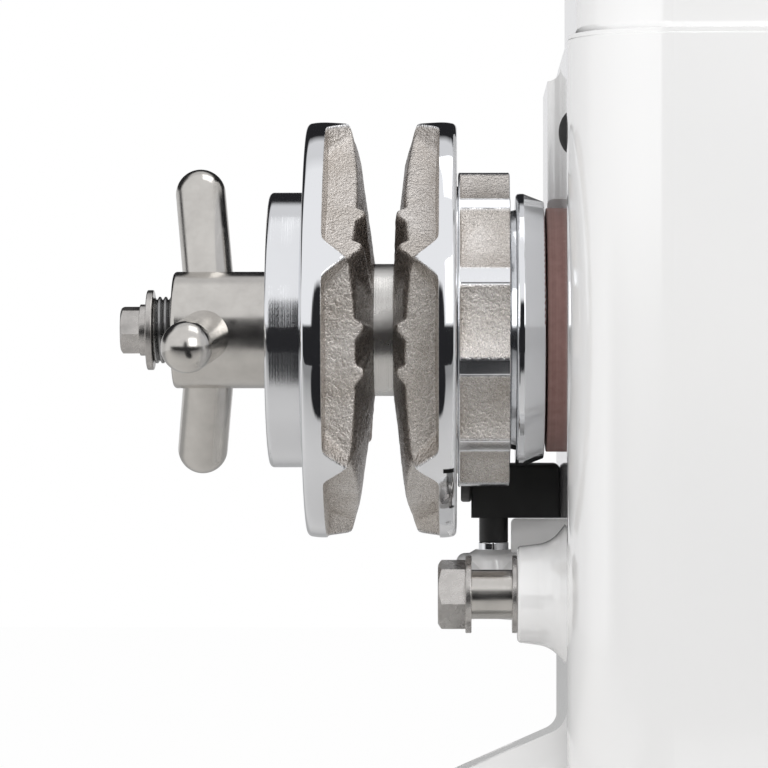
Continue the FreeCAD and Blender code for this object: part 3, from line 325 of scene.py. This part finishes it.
def steel_finish(name, colour, rough, mottle, lines):
    """Stainless steel: a mottled tone and fine lines of working."""
    material, graph, shader, where = new_finish(name)
    blotch = graph.noise(where, BLOTCHES_PER_METRE, detail=5.0, roughness=0.6)
    rings = ring_marks(graph, where, LINES_PER_METRE)
    dark = tuple(c * (1.0 - mottle) for c in colour)
    settle(
        graph, shader,
        Base_Color=graph.tint(graph.span(blotch, 0.35, 0.68), colour, dark),
        Metallic=1.0,
        Roughness=graph.span(blotch, 0.3, 0.7, rough * 0.75, rough * 1.35),
        Normal=graph.bump(rings, LINE_DEPTH, lines),
    )
    return material


# %% [markdown]
# ## Fibre, plastics and the rest
#
# The ring on the wall is pressed fibre, red-brown, rubbed into streaks by turning. The sensor is a black
# moulding with a grey face. Bronze, rubber and plain alloy are mostly hidden, but each gets its own grain.


# %% Fibre, plastics and the rest
FIBRE_DARK = (0.22, 0.115, 0.10)
FIBRE_PALE = (0.34, 0.20, 0.18)
STREAKS_PER_METRE = 900.0
FLECKS_PER_METRE = 420.0
FLECK_DEPTH = 0.00008
MOULD_GRAINS = 1600.0
MOULD_DEPTH = 0.00004
WEAR_PER_METRE = 90.0


def fibre_finish():
    """Pressed fibre with dull streaks round it and a fleck in its colour."""
    material, graph, shader, where = new_finish("fibre")
    streak = ring_marks(graph, where, STREAKS_PER_METRE)
    fleck = graph.noise(where, FLECKS_PER_METRE, detail=5.0)
    tone = graph.math("ADD", graph.math("MULTIPLY", streak, 0.6), graph.math("MULTIPLY", fleck, 0.4))
    settle(
        graph, shader,
        Base_Color=graph.tint(graph.span(tone, 0.35, 0.65), FIBRE_DARK, FIBRE_PALE),
        Roughness=graph.span(fleck, 0.3, 0.7, 0.45, 0.65),
        Normal=graph.bump(fleck, FLECK_DEPTH, 0.5),
    )
    return material


def moulded_finish(name, colour, rough):
    """Moulded plastic or rubber with a fine even grain."""
    material, graph, shader, where = new_finish(name)
    grain = graph.noise(where, MOULD_GRAINS, detail=2.0)
    wear = graph.noise(where, WEAR_PER_METRE, detail=4.0)
    pale = tuple(min(1.0, c * 1.5 + 0.004) for c in colour)
    settle(
        graph, shader,
        Base_Color=graph.tint(graph.span(wear, 0.4, 0.75), colour, pale),
        Roughness=graph.span(wear, 0.3, 0.7, rough * 0.85, rough * 1.2),
        Normal=graph.bump(grain, MOULD_DEPTH, 0.4),
    )
    return material


# %% [markdown]
# ## Give each solid its finish
#
# The record names a material slot for each solid. One table turns slots into the finishes above, and a few
# solids have a finish of their own.

# %% Give each solid its finish
plated = plated_finish("polished_plating", 0.05)
turned = {
    "clutch_disc": plated_finish("turned_plating", 0.09, per_metre=9000.0, depth=0.00002),
    "gypsy_sleeve": plated_finish("turned_sleeve", 0.24, (0.70, 0.69, 0.67), depth=0.00006),
}
satin = steel_finish("satin_stainless", (0.60, 0.58, 0.55), 0.17, 0.12, 0.6)
casting = casting_finish("plated_casting", 0.05)
ground_casting = casting_finish("ground_casting", 0.17)
finishes = {
    "enamel": enamel_finish(),
    "chrome": plated,
    "satin_steel": satin,
    "bolt_steel": steel_finish("plain_stainless", (0.58, 0.56, 0.54), 0.26, 0.35, 0.3),
    "shaft_steel": steel_finish("turned_steel", (0.36, 0.36, 0.36), 0.24, 0.25, 0.5),
    "fibre": fibre_finish(),
    "black_plastic": moulded_finish("black_moulding", (0.006, 0.006, 0.006), 0.42),
    "grey_plastic": moulded_finish("grey_moulding", (0.10, 0.10, 0.10), 0.5),
    "black_rubber": moulded_finish("black_rubber", (0.012, 0.012, 0.012), 0.6),
    "bronze": steel_finish("bronze", (0.55, 0.36, 0.16), 0.25, 0.2, 0.5),
    "plate_alloy": steel_finish("plain_alloy", (0.70, 0.71, 0.72), 0.34, 0.1, 0.2),
    "motor_paint": moulded_finish("black_paint", (0.02, 0.02, 0.022), 0.35),
    "magnet": moulded_finish("ferrite", (0.05, 0.05, 0.055), 0.55),
}
slot_of = {part["node"]: part["material_slot"] for part in frame["record"]["subparts"]}
for name, piece in nodes.items():
    for holder in piece.material_slots:
        holder.material = turned.get(name, finishes[slot_of[name]])
print(f"{len(finishes)} finishes on {len(nodes)} solids")

# %% [markdown]
# ## The floor
#
# A plain studio has a pale floor. The camera sees it as nearly white, with a little of the object's shadow.
# Bright metal mirrors it, and there it needs some tone: painted shade makes it greyer towards its front
# edge, it is greyer far behind the object, and a dark mat in front, which only reflections show, gives the
# low rims their dark edge.

# %% The floor
WHITE = (1.0, 1.0, 1.0, 1.0)
FLOOR_SIDE = 0.9
FLOOR_FRONT = 0.42
FLOOR_SHADE = 0.03
PAPER = (0.86, 0.85, 0.84)
# painted shade: the grey that the paper takes on towards its front edge
PAPER_FRONT_SHADE = (0.30, 0.30, 0.30)
PAPER_FAR = (0.55, 0.55, 0.55)
FRONT_SHADE_GRADE = (-0.06, -0.32)
FAR_GRADE = (0.09, 0.20)
MAT_X = -0.125
MAT_HALF = 0.075
MAT_DEEP = 0.275
MAT_EDGE = (1.05, 0.95)
DARK_WALL = (0.02, 0.02, 0.022)


def ellipse_reach(graph, first, second):
    """Square of the distance from an ellipse's middle, where 1 is its edge.

    Each place is a value, the middle and the half width along that direction."""
    squares = []
    for value, middle, half in (first, second):
        share = graph.math("DIVIDE", graph.math("SUBTRACT", value, middle), half)
        squares.append(graph.math("POWER", share, 2.0))
    return graph.math("ADD", *squares)


def floor_paper():
    """The floor's material: graded paper with a mat in it, and nearly white for the camera."""
    material = bpy.data.materials.new("pale_floor")
    material.use_nodes = True
    graph = Graph(material.node_tree)
    place = graph.add("ShaderNodeTexCoord").outputs["Object"]
    parts = graph.add("ShaderNodeSeparateXYZ", {0: place})
    across, depth = parts.outputs["X"], parts.outputs["Y"]
    path = graph.add("ShaderNodeLightPath")
    mirrored = path.outputs["Is Glossy Ray"]
    # painted shade: the paper darkens towards its front edge, as a sweep of paper in shade
    paper = graph.tint(graph.span(depth, *FRONT_SHADE_GRADE), PAPER, PAPER_FRONT_SHADE)
    far = graph.math("MULTIPLY", graph.span(depth, *FAR_GRADE), mirrored)
    paper = graph.tint(far, paper, PAPER_FAR)
    reach = ellipse_reach(graph, (across, MAT_X, MAT_HALF), (depth, -FLOOR_FRONT, MAT_DEEP))
    mat = graph.math("MULTIPLY", graph.span(reach, *MAT_EDGE), mirrored)
    matt = graph.add("ShaderNodeBsdfDiffuse", {"Color": graph.tint(mat, paper, DARK_WALL)})
    white = graph.add("ShaderNodeEmission", {"Color": WHITE, "Strength": 1.0})
    seen = graph.math("MULTIPLY", path.outputs["Is Camera Ray"], 1.0 - FLOOR_SHADE)
    mixed = graph.add("ShaderNodeMixShader", {0: seen, 1: matt.outputs[0], 2: white.outputs[0]})
    graph.add("ShaderNodeOutputMaterial", {"Surface": mixed.outputs[0]})
    return material


def studio_floor():
    """One flat sheet at the deck's height."""
    side = FLOOR_SIDE
    front = -FLOOR_FRONT
    corners = [(-side, front, 0), (side, front, 0), (side, side, 0), (-side, side, 0)]
    mesh = bpy.data.meshes.new("floor")
    mesh.from_pydata(corners, [], [(0, 1, 2, 3)])
    floor = bpy.data.objects.new("floor", mesh)
    bpy.context.collection.objects.link(floor)
    mesh.materials.append(floor_paper())


studio_floor()
print(f"floor {2 * FLOOR_SIDE:.1f} m wide")

# %% [markdown]
# ## Walls and lamps
#
# Bright metal shows what stands round it, so the walls matter more than the lamps. They are white above,
# grey behind, and dark in three places: low in front, high behind, and in a tall oval gap behind the
# camera. The gap gives each polished rim its dark lens. For plain surfaces the walls are only an even glow,
# weaker overhead, so that the cover's top doesn't burn out.

# %% Walls and lamps
PALE_WALL = (0.97, 0.97, 0.98)
BACKDROP = (0.75, 0.75, 0.76)
FRONT_WALL = (-0.20, -0.45)
BACK_WALL = (0.15, 0.35)
LOW_EDGE = (0.045, 0.015)
BAND_FOOT = (0.13, 0.19)
BAND_TOP = (0.80, 0.70)
GAP_X = -0.03
GAP_WIDE = 0.16
GAP_Z = -0.10
GAP_HIGH = 0.52
GAP_EDGE = (1.15, 0.85)
GLOW_HEIGHTS = (0.2, 1.0)
GLOW_STRENGTHS = (0.93, 0.55)
KEY_LIGHT = ("key_light", (0.5, -1.1, 0.6), (0.0, 0.0, 0.15), 0.8, 4.4, True)
TOP_LIGHT = ("top_light", (0.15, 0.05, 0.95), (-0.12, 0.0, 0.16), 0.5, 1.0, True)
LEFT_LIGHT = ("left_light", (-0.9, -0.8, 0.35), (-0.05, 0.0, 0.15), 0.8, 3.0, False)


def wall_colour(graph, way):
    """Colour of the walls in a direction: pale, grey behind, dark in the two bands and in the gap."""
    across, depth, height = way.outputs["X"], way.outputs["Y"], way.outputs["Z"]
    front = graph.span(depth, *FRONT_WALL)
    back = graph.span(depth, *BACK_WALL)
    below = graph.span(height, *LOW_EDGE)
    band = graph.math("MULTIPLY", graph.span(height, *BAND_FOOT), graph.span(height, *BAND_TOP))
    dark = graph.math("MAXIMUM", graph.math("MULTIPLY", front, below), graph.math("MULTIPLY", back, band))
    reach = ellipse_reach(graph, (across, GAP_X, GAP_WIDE), (height, GAP_Z, GAP_HIGH))
    gap = graph.math("MULTIPLY", front, graph.span(reach, *GAP_EDGE))
    dark = graph.math("MAXIMUM", dark, gap)
    return graph.tint(dark, graph.tint(back, PALE_WALL, BACKDROP), DARK_WALL)


def studio_walls():
    """The world: walls for reflections, an even glow for plain surfaces, and white for the camera."""
    world = bpy.data.worlds.new("studio")
    bpy.context.scene.world = world
    world.use_nodes = True
    graph = Graph(world.node_tree)
    way = graph.add("ShaderNodeSeparateXYZ", {0: graph.add("ShaderNodeTexCoord").outputs["Generated"]})
    glow = graph.span(way.outputs["Z"], *GLOW_HEIGHTS, *GLOW_STRENGTHS)
    room = graph.add("ShaderNodeBackground", {"Color": wall_colour(graph, way), "Strength": 1.0})
    even = graph.add("ShaderNodeBackground", {"Color": WHITE, "Strength": glow})
    plain = graph.add("ShaderNodeBackground", {"Color": WHITE, "Strength": 1.0})
    path = graph.add("ShaderNodeLightPath")
    sharp = graph.math("MAXIMUM", path.outputs["Is Glossy Ray"], path.outputs["Is Transmission Ray"])
    lit = graph.add("ShaderNodeMixShader", {0: sharp, 1: even.outputs[0], 2: room.outputs[0]})
    seen = path.outputs["Is Camera Ray"]
    mixed = graph.add("ShaderNodeMixShader", {0: seen, 1: lit.outputs[0], 2: plain.outputs[0]})
    graph.add("ShaderNodeOutputWorld", {"Surface": mixed.outputs[0]})


def soft_lamp(name, at, aim, size, power, mirrored):
    """A square soft box that points at a place. Reflections show it only if it is mirrored."""
    data = bpy.data.lights.new(name, "AREA")
    data.size = size
    data.energy = power
    lamp = bpy.data.objects.new(name, data)
    lamp.location = at
    lamp.rotation_euler = (Vector(aim) - Vector(at)).to_track_quat("-Z", "Y").to_euler()
    lamp.visible_glossy = mirrored
    bpy.context.collection.objects.link(lamp)


studio_walls()
for lamp_row in (KEY_LIGHT, TOP_LIGHT, LEFT_LIGHT):
    soft_lamp(*lamp_row)
bpy.context.scene.view_settings.view_transform = "Standard"
print("walls and three lamps")

# %% [markdown]
# ## Surfaces from grids
#
# A turned or cast piece is a sheet wrapped round the shaft: its points are a function of an angle and of a
# place along its profile. With numpy the whole sheet is worked out at once, as one array of rows and
# columns, and the mesh is only its neighbours joined up.


# %% Surfaces from grids
SHARP_ANGLE = math.radians(38)


def grid_mesh(name, grid):
    """A closed ring from a (rows, columns, 3) array in metres.

    Columns run round the shaft and rows run round the profile, and both close on themselves. The sign of
    the enclosed volume, a sum of triple products, tells which way the faces point."""
    rows, columns = grid.shape[:2]
    row = np.arange(rows)[:, None] * columns
    above = (row + columns) % (rows * columns)
    column = np.arange(columns)[None, :]
    beside = (column + 1) % columns
    quads = np.stack([row + column, row + beside, above + beside, above + column], axis=-1).reshape(-1, 4)
    points = grid.reshape(-1, 3)
    a, b, c, d = (points[quads[:, i]] - points.mean(axis=0) for i in range(4))
    volume = np.sum(a * np.cross(b, c)) + np.sum(a * np.cross(c, d))
    if volume < 0:
        quads = quads[:, ::-1]
    mesh = bpy.data.meshes.new(name)
    mesh.from_pydata(points.tolist(), [], quads.tolist())
    mesh.polygons.foreach_set("use_smooth", np.ones(len(quads), dtype=bool))
    mesh.set_sharp_from_angle(angle=SHARP_ANGLE)
    piece = bpy.data.objects.new(name, mesh)
    bpy.context.collection.objects.link(piece)
    return piece


def about_shaft(x, r, angle):
    """Points in metres from millimetres: x along the shaft, r out from it, angle 0 to the front and up."""
    return np.stack([x, -r * np.cos(angle), SHAFT_Z / MM + r * np.sin(angle)], axis=-1) * MM


def add_field(piece, label, field):
    """One number for each point of a piece, for its material to read by name."""
    holder = piece.data.attributes.new(label, "FLOAT", "POINT")
    holder.data.foreach_set("value", field.ravel())


def smooth_high(a, b, width):
    """The greater of two fields, with the crease between them rounded over a width."""
    near = np.maximum(width - np.abs(a - b), 0.0) / width
    return np.maximum(a, b) + near * near * width / 4


def smooth_low(a, b, width):
    """The smaller of two fields, rounded in the same way."""
    return -smooth_high(-a, -b, width)


# %% [markdown]
# ## Sand-cast relief
#
# A casting isn't smooth: it is lumpy over a few millimetres and grainy below that. The grain is left to the
# material. The lumps are real relief, the sum of many waves that run in random directions. A fixed seed
# makes the same lumps each time.

# %% Sand-cast relief
LUMP_WAVES = 48
LUMP_SHORTEST = 2.2
LUMP_LONGEST = 8.0
SEED = 7

chance = np.random.default_rng(SEED)
wave_ways = chance.normal(size=(LUMP_WAVES, 3))
wave_ways /= np.linalg.norm(wave_ways, axis=1, keepdims=True)
wave_numbers = 2 * math.pi / chance.uniform(LUMP_SHORTEST, LUMP_LONGEST, LUMP_WAVES)
wave_starts = chance.uniform(0, 2 * math.pi, LUMP_WAVES)
print(f"{LUMP_WAVES} waves of {LUMP_SHORTEST} to {LUMP_LONGEST} mm")


def lumps(points):
    """Height of about one unit: sines of the distance along random directions, added up."""
    along = (points / MM) @ (wave_ways * wave_numbers[:, None]).T + wave_starts
    return np.sin(along).sum(axis=-1) / math.sqrt(LUMP_WAVES / 2)


# %% [markdown]
# ## Pockets and ribs of the chain wheel
#
# The chain wheel is in two halves. Each has a V-shaped side that the upright links run in, with ribs that
# grip them, and six flat-floored pockets for the links that lie flat. They could be cut with booleans, but
# a cut leaves hard creases, and a casting has none. Here a pocket is a radius that depends on two numbers,
# so that its floor, its ends and its bank run into each other with round corners.

# %% Pockets and ribs of the chain wheel
POCKETS = 6
LAND_ANGLE = math.radians(19)
POCKET_FLOOR = 51.0
POCKET_HALF = 20.4
POCKET_SPREAD = 1.1
POCKET_BANK = 14.0
POCKET_CORNER = 1.8
BANK_START = 0.1
FLOOR_FILLET = 3.0
BANK_FILLET = 5.0
RIM_FILLET = 0.4
RIB_ANGLES = (41.0, 25.2, 0.3, -14.6)
RIB_GROUPS = 2
RIB_RISE = 0.08
RIB_FOOT_R = 20.0
RIB_FLAT = math.radians(0.5)
RIB_UPPER_FLANK = math.radians(2.2)
RIB_LOWER_FLANK = math.radians(4.6)

outer_low, outer_high = (np.array(c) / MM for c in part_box("gypsy_outer_half"))
inner_high = np.array(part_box("gypsy_inner_half")[1]) / MM
WHEEL_R = (outer_high[2] - outer_low[2]) / 2


def pocket_radius(inward, angle):
    """Radius of the wheel at a distance inward from its polished rim.

    A pocket is a flat floor (its height over the cosine of the angle), walls that rise at 45 degrees at its
    two ends and a steep bank at the rim. The highest of the three counts, and none stands above the rim.
    Next to the rim the pocket narrows along a quarter circle, which rounds its corners."""
    pitch = 2 * math.pi / POCKETS
    away = np.abs((angle - LAND_ANGLE) % pitch - pitch / 2)
    floor = POCKET_FLOOR / np.cos(away)
    near = np.clip(1 - inward / POCKET_CORNER, 0.0, 1.0)
    corner = POCKET_CORNER * (1 - np.sqrt(1 - near ** 2))
    half = POCKET_HALF + POCKET_SPREAD * np.maximum(inward, 0.0) - corner
    ends = (POCKET_FLOOR - half) / (np.cos(away) - np.sin(away))
    bank = WHEEL_R - POCKET_BANK * (inward - BANK_START)
    hollow = smooth_high(smooth_high(floor, ends, FLOOR_FILLET), bank, BANK_FILLET)
    return smooth_low(hollow, WHEEL_R, RIM_FILLET)


def rib_height(r, angle):
    """Height of the ribs on the V face: higher further out, with a narrow flat top.

    Each flank is half a wave of a cosine. The upper flank is steep and the lower one is long."""
    centres = np.radians(RIB_ANGLES)[:, None, None]
    pitch = 2 * math.pi / RIB_GROUPS
    away = (angle - centres + pitch / 2) % pitch - pitch / 2
    flank = np.where(away > 0, RIB_UPPER_FLANK, RIB_LOWER_FLANK)
    down = np.clip((np.abs(away) - RIB_FLAT) / flank, 0.0, 1.0)
    wave = (0.5 + 0.5 * np.cos(math.pi * down)).max(axis=0)
    return RIB_RISE * np.maximum(r - RIB_FOOT_R, 0.0) * wave


print(f"wheel {2 * WHEEL_R:.1f} mm across with {POCKETS} pockets")

# %% [markdown]
# ## The rough side of the wheel
#
# The rough side runs from the root of the V, out over its face, across the pocket floor and up to the rim.
# Where the face meets the floor the rows are softened, as sand softens an edge, and the lumps of the
# casting are added: along the shaft on the V face, and outwards on the floor.

# %% The rough side of the wheel
WHEEL_COLUMNS = 840
CROWDING = 0.4
EDGE_PASSES = 12
V_ROWS = 36
FLOOR_ROWS = 52
EDGE_FIRST = 30
EDGE_ROWS = 12
SOFTEN_PASSES = 4
V_FACE_SHADE_FADE = 3
CAST_START = 0.12
CAST_FADE = 0.3
CAST_LUMP = 0.045

even_angles = np.linspace(0, 2 * math.pi, WHEEL_COLUMNS, endpoint=False)
wheel_angles = even_angles - CROWDING / POCKETS * np.sin(POCKETS * (even_angles - LAND_ANGLE))


def softened(rows):
    """The rows at the edge, each turned into half of itself and a quarter of both its neighbours."""
    first, last = EDGE_FIRST, EDGE_FIRST + EDGE_ROWS
    for _ in range(SOFTEN_PASSES):
        rows[first:last] = (rows[first - 1:last - 1] + 2 * rows[first:last] + rows[first + 1:last + 1]) / 4
    return rows


def rough_side(v_x, v_r, band_x, side):
    """Places along the shaft, radii, cast and painted V-face shade of the rough rows, from the root to the rim.

    The edge between V face and floor is where both have one radius. It is found by going to and fro
    between the two until it stays."""
    angle = wheel_angles[None, :]
    reach = np.full_like(angle, WHEEL_R)
    for _ in range(EDGE_PASSES):
        edge = np.interp(reach, v_r, v_x) - side * rib_height(reach, angle)
        reach = pocket_radius((band_x - edge) * side, angle)
    share = np.linspace(0, 1, V_ROWS)[:, None]
    v_rows = v_r[0] + (reach - v_r[0]) * share
    v_across = np.interp(v_rows, v_r, v_x) - side * rib_height(v_rows, angle)
    floor_share = 1 - (1 - np.linspace(0, 1, FLOOR_ROWS)[1:, None]) ** 2
    floor_across = edge + (band_x - edge) * floor_share
    floor_rows = pocket_radius((band_x - floor_across) * side, angle)
    x = np.concatenate([v_across, floor_across])
    r = np.concatenate([v_rows, floor_rows])
    row = np.arange(len(x))[:, None]
    cast = np.clip((WHEEL_R - r - CAST_START) / CAST_FADE, 0.0, 1.0)
    # painted shade: the rows of the V face are marked for a darker colour
    v_face_shade = np.clip((V_ROWS - row) / V_FACE_SHADE_FADE, 0.0, 1.0) + 0 * x
    x, r = softened(x), softened(r)
    rough = CAST_LUMP * cast * lumps(about_shaft(x, r, angle + 0 * x))
    turn = np.clip((row - EDGE_FIRST) / EDGE_ROWS, 0, 1)
    return x - side * rough * (1 - turn), r + rough * turn, cast, v_face_shade


print(f"{V_ROWS + FLOOR_ROWS - 1} rough rows of {WHEEL_COLUMNS} points")

# %% [markdown]
# ## The two halves of the chain wheel
#
# The rest of a half is plain turning: the polished rim with a slight crown, a rounded corner, the outer
# face and the bore. One function joins it to the rough side and makes either half. A slot and a small hole
# low on the inner rim are not cut: their shade is painted as dark colour alone.

# %% The two halves of the chain wheel
RIM_CROWN = 0.25
RIM_ROUND = 1.8
RIM_ROWS = 14
BEND_ROWS = 7
# painted shade of a slot and a hole, given as places along the shaft and turns in degrees
SLOT_SHADE_BARS = ((-100.3, -97.3, 317.4, 319.0, 1.0), (-99.4, -97.7, 309.0, 317.4, 0.7))
HOLE_SHADE_SPOT = (-98.0, 302.8, 0.8)
BORE_R = 17.0
SPIGOT_X = -98.6
SPIGOT_R = 43.0
OUTER_FACE = outer_low[0]
OUTER_BAND = -135.4
OUTER_SEAT = -128.7
OUTER_V_X = [-121.1, -122.3, -123.5, -125.6, -128.3]
OUTER_V_R = [19.5, 28.2, 36.7, 51.6, 62.2]
OUTER_BACK = [(OUTER_FACE, 35.4), (OUTER_SEAT, 31.3), (OUTER_SEAT, BORE_R), (OUTER_V_X[0], BORE_R)]
INNER_FACE = inner_high[0] - 0.05
INNER_BAND = -101.5
INNER_SEAT = -99.3
INNER_V_X = [-115.4, -114.2, -113.2, -111.9, -108.4]
INNER_V_R = [19.5, 29.5, 38.5, 49.5, 62.2]
INNER_BACK = [
    (INNER_FACE, SPIGOT_R), (SPIGOT_X, SPIGOT_R), (SPIGOT_X, 31.6),
    (INNER_SEAT, 31.3), (INNER_SEAT, BORE_R), (INNER_V_X[0], BORE_R),
]


def rim_hole_shade_share(x, angle):
    """Share of painted shade on the rim: a slot with a darker head, and a small round hole beyond it."""
    turn = np.degrees(angle)
    share = 0 * x
    for left, right, low, high, tone in SLOT_SHADE_BARS:
        share = np.where((x > left) & (x < right) & (turn > low) & (turn < high), tone, share)
    hole_x, hole_turn, hole_r = HOLE_SHADE_SPOT
    off = np.hypot(x - hole_x, WHEEL_R * np.radians(turn - hole_turn))
    return np.where(off < hole_r, 1.0, share)


def plain_side(band_x, face_x, back, side):
    """Profile of the turned rows: the rim falls with the cube of the way across, then a quarter circle."""
    rim = np.linspace(0, 1, RIM_ROWS)[1:]
    rim_x = band_x + (face_x - side * RIM_ROUND - band_x) * rim
    rim_r = WHEEL_R - RIM_CROWN * rim ** 3
    bend = np.linspace(0, math.pi / 2, BEND_ROWS)[1:]
    bend_x = face_x - side * RIM_ROUND * (1 - np.sin(bend))
    bend_r = rim_r[-1] - RIM_ROUND * (1 - np.cos(bend))
    back_x, back_r = np.array(back).T
    return np.concatenate([rim_x, bend_x, back_x]), np.concatenate([rim_r, bend_r, back_r])


def wheel_half(name, v_x, v_r, band_x, face_x, back):
    """One half of the chain wheel, as rows of its profile by columns of angle.

    v_x and v_r are the V face from its root outwards, band_x is where the rim starts, face_x is the outer
    face, and back is the rest of the profile, round to the root again."""
    side = math.copysign(1.0, face_x - v_x[0])
    x, r, cast, v_face_shade = rough_side(v_x, v_r, band_x, side)
    plain_x, plain_r = plain_side(band_x, face_x, back, side)
    wide = np.ones((1, WHEEL_COLUMNS))
    bare = np.zeros((len(plain_x), WHEEL_COLUMNS))
    x = np.concatenate([x, plain_x[:, None] * wide])
    r = np.concatenate([r, plain_r[:, None] * wide])
    angle = wheel_angles[None, :] + 0 * x
    piece = grid_mesh(name, about_shaft(x, r, angle))
    add_field(piece, "cast", np.concatenate([cast, bare]))
    add_field(piece, "v_face_shade", np.concatenate([v_face_shade, bare]))
    add_field(piece, "rim_hole_shade", rim_hole_shade_share(x, angle))
    piece.data.materials.append(casting)
    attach(piece, "gypsy")
    return piece


outer_wheel = wheel_half("chain_wheel_outer", OUTER_V_X, OUTER_V_R, OUTER_BAND, OUTER_FACE, OUTER_BACK)
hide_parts("gypsy_outer_half")
inner_wheel = wheel_half("chain_wheel_inner", INNER_V_X, INNER_V_R, INNER_BAND, INNER_FACE, INNER_BACK)
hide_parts("gypsy_inner_half")
print(f"chain wheel halves: {len(outer_wheel.data.polygons)} and {len(inner_wheel.data.polygons)} quads")

# %% [markdown]
# ## The ratchet ring
#
# Behind the chain wheel is a ring with eleven scooped teeth for a pawl. The scoops are round-bottomed and
# rough, the lands between them are polished, and a thin web on the left closes them. It is made like the
# wheel: a radius that depends on the angle and on the place along the shaft.

# %% The ratchet ring
TEETH = 11
TOOTH_FIRST = math.radians(18.6)
SCOOP_R = 27.5
SCOOP_FLOOR = 43.5
SCOOP_WEB = 0.6
SCOOP_BANK = 8.0
SCOOP_FILLET = 1.2
LAND_FILLET = 0.3
RING_LEFT = -96.2
RING_COLUMNS = 660
RING_NEAR = 2
NEAR_ROWS = 24
FAR_ROWS = 28
LEFT_ROUND = 0.4
RIGHT_CHAMFER_X = 0.3
RIGHT_CHAMFER_R = 0.5
RING_CAST_START = 0.1
RING_CAST_LEFT = 0.5
RING_LUMPS = 1.7
BORE_LEFT_R = 31.7
BORE_RIGHT_R = 36.17

ring_low, ring_high = (np.array(c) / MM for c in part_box("ratchet_ring"))
RING_R = (ring_high[2] - ring_low[2]) / 2
RING_RIGHT = ring_high[0]


def scoop_radius(x, angle):
    """Radius of the ring: the near side of a circle that stands off it, never more than the ring's own."""
    pitch = 2 * math.pi / TEETH
    away = (angle - TOOTH_FIRST) % pitch - pitch / 2
    stand = SCOOP_FLOOR + SCOOP_R
    scoop = stand * np.cos(away) - np.sqrt(SCOOP_R ** 2 - (stand * np.sin(away)) ** 2)
    bank = RING_R - SCOOP_BANK * (x - RING_LEFT - SCOOP_WEB)
    return smooth_low(smooth_high(scoop, bank, SCOOP_FILLET), RING_R, LAND_FILLET)


def ratchet_ring():
    """The ring as rows along the shaft: left face, web, scoops, right face and the tapered bore.

    The left edge is rounded by a parabola, and the right edge has a small chamfer."""
    angle = np.linspace(0, 2 * math.pi, RING_COLUMNS, endpoint=False)[None, :]
    near = np.linspace(RING_LEFT, RING_LEFT + RING_NEAR, NEAR_ROWS)
    along = np.concatenate([near, np.linspace(RING_LEFT + RING_NEAR, RING_RIGHT, FAR_ROWS)[1:]])
    x = along[:, None] + 0 * angle
    r = scoop_radius(x, angle)
    corner = np.minimum(x - RING_LEFT, LEFT_ROUND) - LEFT_ROUND
    r = r - corner ** 2 / LEFT_ROUND
    cast = np.clip((RING_R - r - RING_CAST_START) / CAST_FADE, 0.0, 1.0) * (x > RING_LEFT + RING_CAST_LEFT)
    r = r + CAST_LUMP * cast * lumps(about_shaft(x, r, angle + 0 * x) * RING_LUMPS)
    right = np.stack([r[-1] - RIGHT_CHAMFER_R, 0 * r[-1] + BORE_RIGHT_R])
    right_x = RING_RIGHT + 0 * right
    left = np.array([[BORE_LEFT_R], [SPIGOT_R], [SPIGOT_R]]) + 0 * angle
    left_x = np.array([[SPIGOT_X], [SPIGOT_X], [RING_LEFT]]) + 0 * angle
    x[-1] -= RIGHT_CHAMFER_X
    plain = np.zeros((len(right) + len(left), RING_COLUMNS))
    x = np.concatenate([x, right_x, left_x])
    r = np.concatenate([r, right, left])
    piece = grid_mesh("ratchet_scoops", about_shaft(x, r, angle + 0 * x))
    add_field(piece, "cast", np.concatenate([cast, plain]))
    piece.data.materials.append(ground_casting)
    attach(piece, "gypsy")
    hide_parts("ratchet_ring")
    return piece


print(f"ratchet ring: {len(ratchet_ring().data.polygons)} quads")
